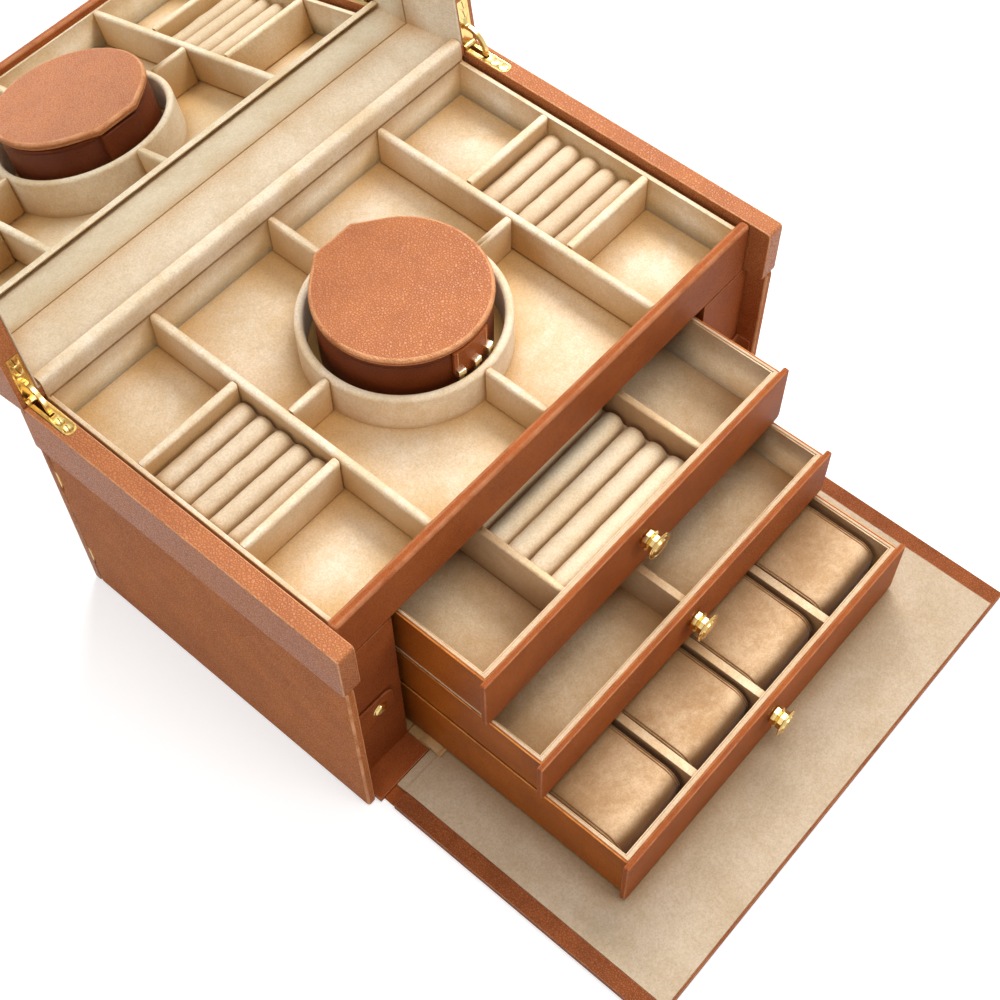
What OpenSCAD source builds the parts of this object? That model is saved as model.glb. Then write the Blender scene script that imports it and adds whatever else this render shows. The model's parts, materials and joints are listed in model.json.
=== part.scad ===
// Leather jewellery case: a lift-up lid with a mirror over a divided tray, three drawers behind a
// fall-front, a necklace compartment behind each side door, and a round travel case in the tray's well.
// The origin is at the middle of the base, where the case stands. +X is to the right, -Y to the front.

/* [Case] */
// Width over the two collars
case_w = 375; // [360:1:400]
// Depth from the front of the collars to the rear face
case_d = 242; // [232:1:262]
// Width of the leather collar blocks at the top of the sides
collar_w = 12.5; // [11.5:0.5:15]
// How far the collars and side doors stand in front of the fascia
collar_project = 14; // [13.5:0.5:20]
// Thickness of the front rail
rail_t = 7; // [5:0.5:10]
// Thickness of the felt under the base
felt_t = 1.2; // [0.8:0.1:2.5]
// Thickness of the base board
base_t = 4; // [3:0.5:6]
// How far the base board reaches in front of the fascia
ledge_d = 17.5; // [16:0.5:24]
// Thickness of the back panel
back_t = 6; // [4:0.5:8]
// Thickness of the cabinet walls beside the drawers
wall_t = 4; // [3:0.5:6]
// Thickness of the fascia strips
fascia_t = 4; // [3:0.5:6]
// Thickness of the deck under the tray
deck_t = 4.5; // [3:0.5:6]

/* [Tray] */
// How far the tray's rim lies below the top of the rail
rim_drop = 5.5; // [4:0.5:10]
// Depth of the tray from its rim to its floor
tray_depth = 27.3; // [22:0.1:36]
// Thickness of the tray's floor
tray_floor_t = 2.5; // [2:0.1:4]
// Thickness of the tray's side walls and back wall
tray_wall_t = 3; // [2.5:0.1:4]
// Thickness of the tray's front wall
tray_front_t = 1.5; // [1.2:0.1:3]
// Gap between the tray and the collars
tray_gap = 3; // [1:0.5:4]
// Thickness of the tray's dividers
divider_t = 6.2; // [5:0.1:8]
// Width inside the two side columns of the tray
column_w = 71.3; // [66:0.1:74]
// Length inside the front pockets of the side columns
front_pocket_len = 61.5; // [55:0.5:66]
// Number of ring rolls in each side column
tray_rolls_n = 5; // [4:1:5]
// Distance from one ring roll to the next in the tray
tray_roll_pitch = 14.2; // [13:0.1:14.6]
// Height of the ring rolls over the tray's floor
tray_roll_h = 19; // [16:0.5:24]
// Distance from the fascia to the centre of the round well
well_y = 114.5; // [112:0.5:118]
// Inside radius of the round well
well_r = 57.5; // [56:0.5:60]
// Wall thickness of the round well
well_t = 5.5; // [4:0.5:6]

/* [Drawers] */
// Width of the drawer fronts
front_w = 270; // [250:1:276]
// Height of the upper drawer's front
upper_h = 47.8; // [42:0.1:56]
// Height of the middle drawer's front
middle_h = 40.7; // [36:0.1:48]
// Height of the lower drawer's front
lower_h = 50.3; // [46:0.1:60]
// Thickness of the drawer fronts
front_t = 3.7; // [3:0.1:5]
// Gap between one drawer front and the next
front_gap = 1; // [0.8:0.1:2]
// How far the drawer boxes stay inside the edges of their fronts
box_inset = 3.6; // [3:0.1:5]
// Thickness of the drawer boxes' walls
box_t = 3; // [2.5:0.1:4]
// Thickness of the suede lining
lining_t = 1; // [0.8:0.1:1.4]
// Thickness of the upper and middle drawers' dividers
slim_divider_t = 5; // [4:0.5:6]
// Thickness of the lower drawer's dividers
watch_divider_t = 5.5; // [4:0.5:7]
// Width between the upper drawer's two dividers
ring_bay_w = 117; // [100:1:130]
// Distance from one ring roll to the next in the upper drawer
drawer_roll_pitch = 14.7; // [13:0.1:16]
// Height of the ring rolls over the upper drawer's floor
drawer_roll_h = 24; // [18:0.5:32]
// Distance from one lower divider to the next, as a share of half the drawer's inside width
watch_share = 0.5055; // [0.49:0.0005:0.515]
// Free space at each end of a watch cushion
cushion_gap = 1.95; // [1.2:0.05:5]
// Radius of a watch cushion's front and back edges
cushion_round = 12; // [8:0.5:16]
// Depth of a watch cushion, front to back
cushion_d = 84; // [70:1:95]
// How far the upper drawer stands open
upper_out = 63.6; // [40:0.1:100]
// How far the middle drawer stands open
middle_out = 103; // [60:0.1:130]
// How far the lower drawer stands open
lower_out = 165; // [100:0.1:175]
// Diameter of a knob's disc
knob_d = 18.6; // [15:0.2:22]
// Height of a knob from the drawer front
knob_h = 12.6; // [11:0.1:13]
// Radius of a knob's screw
knob_screw_r = 1.6; // [1.2:0.1:2]

/* [Lid] */
// Height of the closed lid
lid_h = 48; // [44:1:60]
// Depth from the lid's rim to the mirror
mirror_recess = 38.5; // [34:0.5:40]
// Thickness of the mirror
mirror_t = 3; // [2:0.5:4]
// Width of the lining between the lid's side wall and the mirror
mirror_border = 10; // [7:0.5:16]
// Angle at which the lid stands open
lid_open = 98; // [80:1:100]
// Distance from the hinge pins to the rear face
pin_inset = 4; // [3.5:0.5:6]
// Height of the hinge pins over the collars
pin_rise = 0.5; // [0.4:0.1:1]
// Radius of the hinge pins
pin_r = 1; // [0.8:0.1:1.2]
// Middle radius of the quadrant arms
arm_r = 14.5; // [13:0.5:18]
// Width of the hinge plates
plate_w = 9; // [8:0.5:10]
// Distance from the hinge pins to the front ends of the plates
plate_reach = 34; // [32:0.5:40]

/* [Side doors] */
// Thickness of the side doors
side_t = 6; // [5:0.5:8]
// How far the side doors lie inside the outer faces of the collars
door_inset = 1.5; // [1:0.5:3]
// Distance between the necklace hooks on each side
hook_pitch = 34; // [28:1:40]
// Length of the necklace hooks' pegs
peg_len = 15; // [10:1:20]
// Radius of the side doors' hinge pins
door_pin_r = 1.2; // [1:0.1:1.5]
// Height of each tab's stud above the table
tab_z = 71.5; // [60:0.5:90]
// Height of the tabs
tab_h = 26; // [18:1:34]
// Where the tabs end, as a share of the way from the drawer boxes to the doors
tab_start = 0.285; // [0.2:0.005:0.4]
// Where the tabs' studs sit, as a share of the way from their ends to the doors
stud_share = 0.31; // [0.25:0.01:0.4]
// Diameter of the tab studs
stud_d = 11; // [8:0.5:13]

/* [Fall-front] */
// Width of the fall-front
fall_w = 354; // [340:1:360]
// Height of the fall-front when it is closed
fall_h = 195.5; // [185:0.5:200]
// Thickness of the fall-front
fall_t = 5.4; // [4.6:0.1:5.6]
// Width of the soft hinge between the ledge and the fall-front
soft_hinge_w = 8; // [6:0.5:10]
// Width of the leather border beside the lining
fall_border = 11; // [8:0.5:16]

/* [Travel case] */
// Diameter of the travel case's lid
travel_d = 105; // [98:1:108]
// Height of the travel case's base
travel_base_h = 42.5; // [38:0.5:46]
// Thickness of the travel case's lid
travel_lid_t = 6; // [4:0.5:8]
// Wall thickness of the travel case
travel_wall_t = 2.4; // [2:0.1:3]
// How far the lid stands out over the base all round
travel_lip = 1.5; // [1:0.1:2]
// Width of the travel case's closing tab
travel_tab_w = 28; // [18:1:32]
// Length of the travel case's closing tab
travel_tab_len = 22; // [18:1:30]

/* [Clearances] */
// Gap between parts that slide or swing past each other
move_gap = 0.5; // [0.4:0.1:0.8]
// Gap between a lining or insert and what holds it
seat_gap = 0.2; // [0.1:0.05:0.3]
// Radial clearance of a pin that turns in its bore
pin_fit = 0.05; // [0.02:0.01:0.08]
// Radial clearance of a screw in its hole
screw_fit = 0.02; // [0.01:0.01:0.05]

/* [Hidden] */
leather = "saddlebrown";
suede = "burlywood";
metal = "gold";

$fn = 48;

// Heights, from the table up
base_top = felt_t + base_t;
glide_t = 1;
glide_gap = 0.3;
lower_z = base_top + glide_t + glide_gap;
middle_z = lower_z + lower_h + front_gap;
upper_z = middle_z + middle_h + front_gap;
top_gap = 4.2;
rail_z = upper_z + upper_h + top_gap;
deck_z = rail_z + move_gap;
tray_z = deck_z + deck_t + seat_gap;
floor_z = tray_z + tray_floor_t;
rim_z = floor_z + tray_depth;
rail_top = rim_z + rim_drop;

// Distances from the fascia, front to back
rear = case_d - collar_project;
back_y = rear - back_t;
tray_y0 = rail_t + seat_gap;
tray_back_set = 3.5;
tray_y1 = back_y + tray_back_set;

// Distances from the middle, to each side
half_w = case_w / 2;
collar_in = half_w - collar_w;
door_out = half_w - door_inset;
door_in = door_out - side_t;
shell_half = door_in - move_gap;
side_play = 2;
opening_half = front_w / 2 + side_play;
box_half = front_w / 2 - box_inset;
lining_half = box_half - box_t;
inner_half = lining_half - lining_t;

// Tray
tray_half = collar_in - tray_gap;
tray_in = tray_half - tray_wall_t;
divider_x = tray_in - column_w - divider_t / 2;
tray_front = tray_y0 + tray_front_t;
tray_back = tray_y1 - tray_wall_t;
roll_bay = tray_rolls_n * tray_roll_pitch + 1.2;
cross_y1 = tray_front + front_pocket_len;
cross_y2 = cross_y1 + divider_t + roll_bay;
well_out = well_r + well_t;
divider_h = tray_depth - seat_gap;

// Lid hinge
pin_y = rear - pin_inset;
pin_z = rail_top + pin_rise;
notch_front = pin_y - 1;
notch_z = pin_z - pin_inset - 1.2;
plate_x = half_w - collar_w / 2 - 1.3;
plate_t = 1.5;
plate_front = pin_y - plate_reach;
knuckle_r = pin_r + 1.2;
knuckle_cut = knuckle_r + 0.4;
knuckle_w = 2;
arm_w = 2.4;
arm_half_t = 1.5;
arm_sweep = 96;
slot_gap = 0.5;
small_screw_r = 1.3;
screw_head_r = 2.9;
screw_len = 9;
screw_head_t = 1.2;
front_screw_y = plate_front + plate_w / 2 + 0.1;
rear_screw_y = front_screw_y + 2 * screw_head_r + 1.1;

// Lid, as closed
lid_front = -collar_project;
lid_front_t = 8;
lid_rear_t = 7;
lid_board_t = lid_h - mirror_recess - mirror_t - seat_gap;
lid_in_y0 = lid_front + lid_front_t;
lid_in_y1 = rear - lid_rear_t;
mirror_half = collar_in - mirror_border;
mirror_y0 = lid_in_y0 + mirror_border;
mirror_y1 = pin_y - 10.5;
rim_lip = 1.2;

// Side doors
door_z = 1;
door_top = rail_z - move_gap;
door_pin_x = door_out - side_t / 2;
door_pin_y = back_y - side_t / 2 - move_gap;
door_front = -collar_project;
hinge_zs = [26, 112];
hinge_len = 16;
hinge_knuckle_r = door_pin_r + 1.4;
tab_t = 1.4;
tab_x0 = box_half + tab_start * (door_in - box_half);
stud_x = tab_x0 + stud_share * (door_in - tab_x0);
pin_below = 12;
pin_above = 9;
pin_foot = hinge_zs[0] - pin_below;

// Fall-front, lying open
soft_y = -ledge_d - 0.4;
soft_z = fall_t / 2 + 0.15;
fall_y1 = -ledge_d - soft_hinge_w;
fall_y0 = fall_y1 - fall_h;
fall_lining_t = 0.8;
fall_edge = 1.4;

// Drawers
drawer_len = back_y - 4.9;
runner_w = 10;
runner_t = 2.3;
box_drop = 1.3;
floor_t = 3;
wall_drop = 1.3;
lining_drop = 0.4;
divider_drop = 3;
knob_drop = 16.5;
knob_hole_r = 3.4;
cushion_shift = 1;
watch_pitch = inner_half * watch_share;
cushion_len = watch_pitch - watch_divider_t - 2 * cushion_gap;
well_margin = 0.3;

// Travel case
travel_r = travel_d / 2 - travel_lip;
travel_z = floor_z + 0.3;
travel_split = travel_z + travel_base_h;
travel_gap = 0.6;
flap_w = 30;
flap_y = well_y + 54.3;
claw_w = 4.5;
claw_h = 6;
claw_t = 1.4;
claw_step = 12;

// ---------- helpers ----------

// Places children whose y is counted from the fascia
module from_fascia() {
    translate([0, -case_d / 2 + collar_project, 0]) children();
}

// Box from one corner to the opposite one
module span(low, high) {
    translate(low) cube(high - low);
}

// Draws the children as given, and mirrored to the left side
module both_sides() {
    children();
    mirror([1, 0, 0]) children();
}

// Keeps the children on the right for 1, mirrors them to the left for -1
module on_side(side) {
    mirror([side < 0 ? 1 : 0, 0, 0]) children();
}

// Cylinder along X, centred on x = 0
module rod_x(r, len) {
    rotate([0, 90, 0]) cylinder(r = r, h = len, center = true);
}

// Box with a rounded outline in plan
module rounded_plan(low, high, r) {
    translate([0, 0, low[2]]) linear_extrude(high[2] - low[2]) hull() {
        for (x = [low[0] + r, high[0] - r], y = [low[1] + r, high[1] - r])
            translate([x, y]) circle(r, $fn = 32);
    }
}

// Countersunk screw, its head's top at z = 0
module screw(r, head_r, len) {
    translate([0, 0, -len]) cylinder(r = r, h = len);
    translate([0, 0, -screw_head_t]) cylinder(r1 = r, r2 = head_r, h = screw_head_t);
}

// Seat of a countersunk screw, open upwards; its head has twice the clearance of its shank
module screw_seat(r, head_r, len) {
    translate([0, 0, -len - 0.5]) cylinder(r = r + screw_fit, h = len + 1);
    translate([0, 0, -screw_head_t]) {
        cylinder(r1 = r + 2 * screw_fit, r2 = head_r + 2 * screw_fit, h = screw_head_t + 0.01);
        translate([0, 0, screw_head_t]) cylinder(r = head_r + 2 * screw_fit, h = 1);
    }
}

// Row of ring rolls along Y on one pad; the rolls lie along X
module roll_row(x0, x1, y0, pitch, n, z, height) {
    r = pitch / 2 - 0.1;
    span([x0, y0, z], [x1, y0 + n * pitch, z + height - r]);
    for (i = [0 : n - 1])
        translate([(x0 + x1) / 2, y0 + (i + 0.5) * pitch, z + height - r]) rod_x(r, x1 - x0);
}

// ---------- case ----------

module felt_pad() {
    color("dimgray") from_fascia()
        span([-shell_half + 8, 4 - ledge_d, 0], [shell_half - 8, back_y - 6, felt_t]);
}

module base_board() {
    color(leather) from_fascia() difference() {
        span([-shell_half, -ledge_d, felt_t], [shell_half, back_y - seat_gap, base_top]);
        span([-opening_half, -ledge_d - 1, base_top - lining_t], [opening_half, 0, base_top + 1]);
    }
}

module ledge_lining() {
    color(suede) from_fascia()
        span([-opening_half + seat_gap, -ledge_d, base_top - lining_t],
            [opening_half - seat_gap, 0, base_top]);
}

module cabinet_walls() {
    color(leather) from_fascia() both_sides()
        span([opening_half, fascia_t + seat_gap, base_top],
            [opening_half + wall_t, back_y - seat_gap, deck_z - seat_gap]);
}

module back_panel() {
    color(leather) from_fascia() {
        span([-door_out, back_y, felt_t], [door_out, rear, rail_z - seat_gap]);
        span([-collar_in + seat_gap, tray_y1 + seat_gap, rail_z - seat_gap],
            [collar_in - seat_gap, rear, notch_z]);
    }
}

module fascia_strips() {
    color(leather) from_fascia() both_sides()
        span([opening_half, 0, base_top + seat_gap], [shell_half, fascia_t, rail_z - seat_gap]);
}

module front_rail() {
    color(leather) from_fascia()
        span([-collar_in + seat_gap, 0, rail_z], [collar_in - seat_gap, rail_t, rail_top]);
}

// Pocket that the quadrant arm swings into: a sector of a ring about the lid's pins
module arm_pocket() {
    r0 = arm_r - arm_half_t - slot_gap;
    r1 = arm_r + arm_half_t + slot_gap;
    translate([plate_x, pin_y, pin_z]) intersection() {
        difference() {
            rod_x(r1, arm_w + 2 * slot_gap);
            rod_x(r0, arm_w + 2 * slot_gap + 2);
        }
        span([-arm_w, -2 * r1, -2 * r1], [arm_w, arm_r * sin(arm_sweep - 90) + 1, 1]);
    }
}

module plate_outline(z0, z1, grow) {
    y1 = pin_y + pin_r;
    rounded_plan([plate_x - plate_w / 2 - grow, plate_front - grow, z0],
        [plate_x + plate_w / 2 + grow, y1, z1], plate_w / 2 - 0.1);
    span([plate_x - plate_w / 2 - grow, pin_y - 20, z0], [plate_x + plate_w / 2 + grow, y1, z1]);
}

module collar(side) {
    color(leather) from_fascia() on_side(side) difference() {
        span([collar_in, -collar_project, rail_z], [half_w, rear, rail_top]);
        span([collar_in - 1, notch_front, notch_z], [half_w + 1, rear + 1, rail_top + 1]);
        plate_outline(rail_top - plate_t, rail_top + 1, screw_fit);
        translate([plate_x, pin_y, pin_z]) rod_x(knuckle_cut, plate_w + 0.4);
        arm_pocket();
        for (y = [front_screw_y, rear_screw_y])
            translate([plate_x, y, rail_top]) screw_seat(small_screw_r, small_screw_r, screw_len);
        translate([door_pin_x, door_pin_y, rail_z - 1])
            cylinder(r = door_pin_r + screw_fit, h = pin_above + 2);
    }
}

module top_deck() {
    color(leather) from_fascia()
        span([-collar_in + seat_gap, rail_t + seat_gap, deck_z],
            [collar_in - seat_gap, back_y - seat_gap, deck_z + deck_t]);
}

module drawer_runners() {
    color(suede) from_fascia() both_sides() {
        for (z = [upper_z, middle_z])
            span([opening_half - runner_w, front_t + 4, z + box_drop - glide_gap - runner_t],
                [opening_half, back_y - 2, z + box_drop - glide_gap]);
        span([opening_half - runner_w, 0.5, base_top], [opening_half - seat_gap, back_y - 2, base_top + glide_t]);
    }
}

module necklace_hooks() {
    bar_h = 10;
    bar_z = rail_z - 1.4 * bar_h;
    peg_r = 1.4;
    pegs = 5;
    y0 = (back_y - (pegs - 1) * hook_pitch) / 2 + 4;
    y1 = y0 + (pegs - 1) * hook_pitch;
    end = 13;
    color(metal) from_fascia() both_sides() translate([opening_half + wall_t, 0, bar_z]) {
        span([0, y0 - end, -bar_h / 2], [1.2, y1 + end, bar_h / 2]);
        for (i = [0 : pegs - 1]) translate([1.2, y0 + i * hook_pitch, 0]) {
            rotate([0, 90, 0]) cylinder(r = peg_r, h = peg_len);
            translate([peg_len - peg_r, 0, 0]) cylinder(r = peg_r, h = 5);
            translate([peg_len - peg_r, 0, 5]) sphere(peg_r + 0.6);
        }
    }
}

module door_hinges() {
    color(metal) from_fascia() both_sides() for (z = hinge_zs) translate([door_pin_x, door_pin_y, z])
        difference() {
            union() {
                cylinder(r = hinge_knuckle_r, h = hinge_len);
                span([-0.8, 0, 0], [0.8, back_y - door_pin_y - 0.9, hinge_len]);
                span([-5.5, back_y - door_pin_y - 1, 0], [2.6, back_y - door_pin_y, hinge_len]);
            }
            translate([0, 0, -1]) cylinder(r = door_pin_r + screw_fit, h = hinge_len + 2);
        }
}

module door_pins() {
    color(metal) from_fascia() both_sides()
        translate([door_pin_x, door_pin_y, pin_foot])
            cylinder(r = door_pin_r, h = rail_z + pin_above - pin_foot);
}

module hinge_plates() {
    color(metal) from_fascia() both_sides() difference() {
        union() {
            plate_outline(rail_top - plate_t, rail_top, 0);
            for (s = [-1, 1]) translate([plate_x + s * (plate_w - knuckle_w) / 2, pin_y, pin_z])
                rod_x(knuckle_r, knuckle_w);
        }
        span([plate_x - plate_w / 2 + knuckle_w, pin_y - knuckle_cut, rail_top - plate_t - 1],
            [plate_x + plate_w / 2 - knuckle_w, pin_y + 2 * knuckle_cut, rail_top + 1]);
        span([plate_x - arm_w / 2 - slot_gap, pin_y - arm_r - arm_half_t - slot_gap, rail_top - plate_t - 1],
            [plate_x + arm_w / 2 + slot_gap, pin_y, rail_top + 1]);
        translate([plate_x, pin_y, pin_z]) rod_x(pin_r + screw_fit, plate_w + 2);
        for (y = [front_screw_y, rear_screw_y])
            translate([plate_x, y, rail_top]) screw_seat(small_screw_r, screw_head_r, screw_len);
    }
}

module hinge_pins() {
    color(metal) from_fascia() both_sides() translate([plate_x, pin_y, pin_z]) rod_x(pin_r, plate_w);
}

module plate_screws() {
    color(metal) from_fascia() both_sides() for (y = [front_screw_y, rear_screw_y])
        translate([plate_x, y, rail_top]) screw(small_screw_r, screw_head_r, screw_len);
}

// ---------- tray ----------

module tray_shell() {
    color(suede) from_fascia() difference() {
        span([-tray_half, tray_y0, tray_z], [tray_half, tray_y1, rim_z]);
        span([-tray_in, tray_front, floor_z], [tray_in, tray_back, rim_z + 1]);
    }
}

module long_dividers() {
    color(suede) from_fascia() both_sides() translate([divider_x, 0, 0])
        span([-divider_t / 2, tray_front + seat_gap, floor_z],
            [divider_t / 2, tray_back - seat_gap, floor_z + divider_h]);
}

module cross_dividers() {
    x0 = divider_x + divider_t / 2 + seat_gap;
    top = floor_z + divider_h;
    color(suede) from_fascia() {
        both_sides() for (y = [cross_y1, cross_y2])
            span([x0, y, floor_z], [tray_in - seat_gap, y + divider_t, top]);
        difference() {
            union() {
                span([-divider_x + divider_t / 2 + seat_gap, well_y - divider_t / 2, floor_z],
                    [divider_x - divider_t / 2 - seat_gap, well_y + divider_t / 2, top]);
                span([-divider_t / 2, tray_front + seat_gap, floor_z],
                    [divider_t / 2, tray_back - seat_gap, top]);
            }
            translate([0, well_y, floor_z - 1])
                cylinder(r = well_out + well_margin, h = tray_depth + 2, $fn = 96);
        }
    }
}

module ring_well() {
    color(suede) from_fascia() translate([0, well_y, floor_z]) difference() {
        cylinder(r = well_out, h = divider_h, $fn = 96);
        translate([0, 0, -1]) cylinder(r = well_r, h = divider_h + 2, $fn = 96);
    }
}

module tray_rolls() {
    color(suede) from_fascia() both_sides()
        roll_row(divider_x + divider_t / 2 + 0.4, tray_in - 0.4, cross_y1 + divider_t + 0.6,
            tray_roll_pitch, tray_rolls_n, floor_z, tray_roll_h);
}

// ---------- lid ----------

// Turns the closed lid about its pins to where it stands open
module opened() {
    translate([0, pin_y, pin_z]) rotate([-lid_open, 0, 0]) translate([0, -pin_y, 0]) children();
}

module lid_board() {
    color(leather) from_fascia() opened()
        span([-half_w, lid_front, lid_h - lid_board_t], [half_w, rear, lid_h]);
}

module lid_frame() {
    color(leather) from_fascia() opened() difference() {
        span([-half_w, lid_front, 0], [half_w, rear, lid_h - lid_board_t]);
        span([-collar_in, lid_in_y0, -1], [collar_in, lid_in_y1, lid_h]);
        both_sides() {
            span([plate_x - plate_w / 2 - screw_fit, plate_front, -1],
                [plate_x + plate_w / 2 + screw_fit, pin_y, plate_t]);
            translate([plate_x, pin_y, 0]) rod_x(knuckle_cut, plate_w + 0.4);
            for (y = [front_screw_y, rear_screw_y])
                translate([plate_x, y, 0]) rotate([180, 0, 0])
                    screw_seat(small_screw_r, small_screw_r, screw_len);
        }
    }
}

module lid_lining() {
    e = seat_gap;
    top = lid_h - lid_board_t - e;
    color(suede) from_fascia() opened() difference() {
        span([-collar_in + e, lid_in_y0 + e, 0], [collar_in - e, lid_in_y1 - e, top]);
        hull() {
            span([-collar_in + e + rim_lip, lid_in_y0 + e + rim_lip, -1],
                [collar_in - e - rim_lip, lid_in_y1 - e - rim_lip, 0]);
            span([-mirror_half, mirror_y0, mirror_recess - 1], [mirror_half, mirror_y1, mirror_recess]);
        }
        span([-mirror_half - 3, mirror_y0 - 3, mirror_recess - 0.01],
            [mirror_half + 3, mirror_y1 + 3, lid_h]);
    }
}

module mirror_glass() {
    color("lightsteelblue") from_fascia() opened()
        span([-mirror_half - 3 + seat_gap, mirror_y0 - 3 + seat_gap, mirror_recess],
            [mirror_half + 3 - seat_gap, mirror_y1 + 3 - seat_gap, mirror_recess + mirror_t]);
}

module lid_arms() {
    inner_w = plate_w - 2 * knuckle_w - 0.4;
    reach = 2 * arm_r;
    color(metal) from_fascia() opened() both_sides() translate([plate_x, pin_y, 0]) {
        difference() {
            union() {
                span([-plate_w / 2, plate_front + 0.2 - pin_y, 0], [plate_w / 2, -knuckle_cut, plate_t]);
                span([-inner_w / 2, -knuckle_cut - 0.1, 0], [inner_w / 2, 0, plate_t]);
                rod_x(knuckle_r, inner_w);
            }
            rod_x(pin_r + pin_fit, plate_w + 2);
            for (y = [front_screw_y, rear_screw_y])
                translate([0, y - pin_y, 0]) rotate([180, 0, 0])
                    screw_seat(small_screw_r, screw_head_r, screw_len);
        }
        intersection() {
            difference() {
                rod_x(arm_r + arm_half_t, arm_w);
                rod_x(arm_r - arm_half_t, arm_w + 2);
            }
            rotate([90, 0, 90]) linear_extrude(arm_w + 2, center = true)
                polygon([[0, 0], [-reach, 0], [-reach, -reach],
                    [reach * sin(arm_sweep - 90), -reach]]);
        }
    }
}

module leaf_screws() {
    color(metal) from_fascia() opened() both_sides() for (y = [front_screw_y, rear_screw_y])
        translate([plate_x, y, 0]) rotate([180, 0, 0]) screw(small_screw_r, screw_head_r, screw_len);
}

// ---------- fall-front ----------

module fall_front_panel() {
    color(leather) from_fascia() difference() {
        span([-fall_w / 2, fall_y0, 0], [fall_w / 2, fall_y1, fall_t]);
        span([-fall_w / 2 + fall_border, fall_y0 + fall_edge, fall_t - fall_lining_t],
            [fall_w / 2 - fall_border, fall_y1 + 1, fall_t + 1]);
    }
}

module fall_front_lining() {
    x = fall_w / 2 - fall_border - seat_gap;
    color(suede) from_fascia() {
        span([-x, fall_y0 + fall_edge + seat_gap, fall_t - fall_lining_t], [x, fall_y1 + 1, fall_t]);
        span([-x, fall_y1, soft_z], [x, fall_y1 + 1, fall_t]);
        span([-x, fall_y1, soft_z], [x, soft_y, soft_z + 1.6]);
    }
}

// ---------- side doors ----------

module side_door(side) {
    color(leather) from_fascia() on_side(side) difference() {
        union() {
            span([door_in, door_front, door_z], [door_out, door_pin_y, door_top]);
            translate([door_pin_x, door_pin_y, door_z]) cylinder(r = side_t / 2, h = door_top - door_z);
        }
        translate([door_pin_x, door_pin_y, pin_foot - move_gap])
            cylinder(r = door_pin_r + pin_fit, h = case_w);
        for (z = hinge_zs) translate([door_pin_x, door_pin_y, z - move_gap])
            cylinder(r = side_t, h = hinge_len + 2 * move_gap);
    }
}

module side_lining(side) {
    color(suede) from_fascia() on_side(side)
        span([door_in - lining_t, fascia_t + 1.5, base_top + 2], [door_in, door_pin_y - side_t - 2, door_top - 2]);
}

// Tab from the door's inner face, over the fascia; its stud's shank goes through it
module door_tab(side) {
    r = 6;
    tab_y = -move_gap - tab_t;
    color(leather) from_fascia() on_side(side) {
        difference() {
            translate([0, tab_y + tab_t, 0]) rotate([90, 0, 0]) linear_extrude(tab_t) hull() {
                for (z = [tab_z - 0.35 * tab_h + r, tab_z + 0.45 * tab_h - r])
                    translate([tab_x0 + r, z]) circle(r, $fn = 32);
                translate([door_in - 1, tab_z - tab_h / 2]) square([1, tab_h]);
            }
            translate([stud_x, 1, tab_z]) rotate([90, 0, 0]) cylinder(r = 1.5 + screw_fit, h = 6);
        }
        span([door_in - 1, tab_y - 9, tab_z - tab_h / 2], [door_in, tab_y + 0.1, tab_z + tab_h / 2]);
    }
}

module tab_stud(side) {
    tab_y = -move_gap - tab_t;
    color(metal) from_fascia() on_side(side) translate([stud_x, tab_y, tab_z]) rotate([90, 0, 0]) {
        cylinder(r = stud_d / 2, h = 1.2);
        translate([0, 0, 1.2]) cylinder(r1 = stud_d / 2 - 0.4, r2 = stud_d / 2 - 2, h = 1);
        translate([0, 0, -tab_t]) cylinder(r = 1.5, h = tab_t);
    }
}

// ---------- drawers ----------

// A drawer's parts are given by the bottom of its front z, its front's height h and how far it is out
module drawer_box(z, h, out) {
    top = z + h - wall_drop;
    y0 = -out + front_t;
    y1 = -out + drawer_len;
    color(leather) from_fascia() difference() {
        span([-box_half, y0, z + box_drop], [box_half, y1, top]);
        span([-lining_half, y0 + box_t, z + box_drop + floor_t], [lining_half, y1 - box_t, top + 1]);
        translate([0, y0 - 1, z + h - knob_drop]) rotate([-90, 0, 0])
            cylinder(r = knob_screw_r + screw_fit, h = box_t + 2);
    }
}

module drawer_front(z, h, out) {
    r = 5;
    w = front_w / 2;
    color(leather) from_fascia() difference() {
        translate([0, -out + front_t, 0]) rotate([90, 0, 0]) linear_extrude(front_t) hull() {
            for (x = [-w + r, w - r]) translate([x, z + r]) circle(r, $fn = 32);
            translate([-w, z + h - 1]) square([2 * w, 1]);
        }
        translate([0, -out - 1, z + h - knob_drop]) rotate([-90, 0, 0])
            cylinder(r = knob_screw_r + screw_fit, h = front_t + 2);
    }
}

function drawer_floor(z) = z + box_drop + floor_t + lining_t;
function drawer_in_front(out) = -out + front_t + box_t + lining_t;
function drawer_in_back(out) = -out + drawer_len - box_t - lining_t;

module drawer_lining(z, h, out) {
    top = z + h - wall_drop - lining_drop;
    color(suede) from_fascia() difference() {
        span([-lining_half, -out + front_t + box_t, z + box_drop + floor_t],
            [lining_half, -out + drawer_len - box_t, top]);
        span([-inner_half, drawer_in_front(out), drawer_floor(z)],
            [inner_half, drawer_in_back(out), top + 1]);
        translate([0, -out + front_t + box_t - 1, z + h - knob_drop]) rotate([-90, 0, 0])
            cylinder(r = knob_hole_r, h = lining_t + 1.5);
    }
}

// Dividers along Y at the given places across a drawer
module drawer_dividers(z, h, out, places, t) {
    color(suede) from_fascia() for (x = places)
        difference() {
            span([x - t / 2, drawer_in_front(out) + seat_gap, drawer_floor(z)],
                [x + t / 2, drawer_in_back(out) - seat_gap, z + h - wall_drop - divider_drop]);
            translate([0, drawer_in_front(out) - 1, z + h - knob_drop]) rotate([-90, 0, 0])
                cylinder(r = knob_hole_r, h = knob_hole_r);
        }
}

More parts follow.
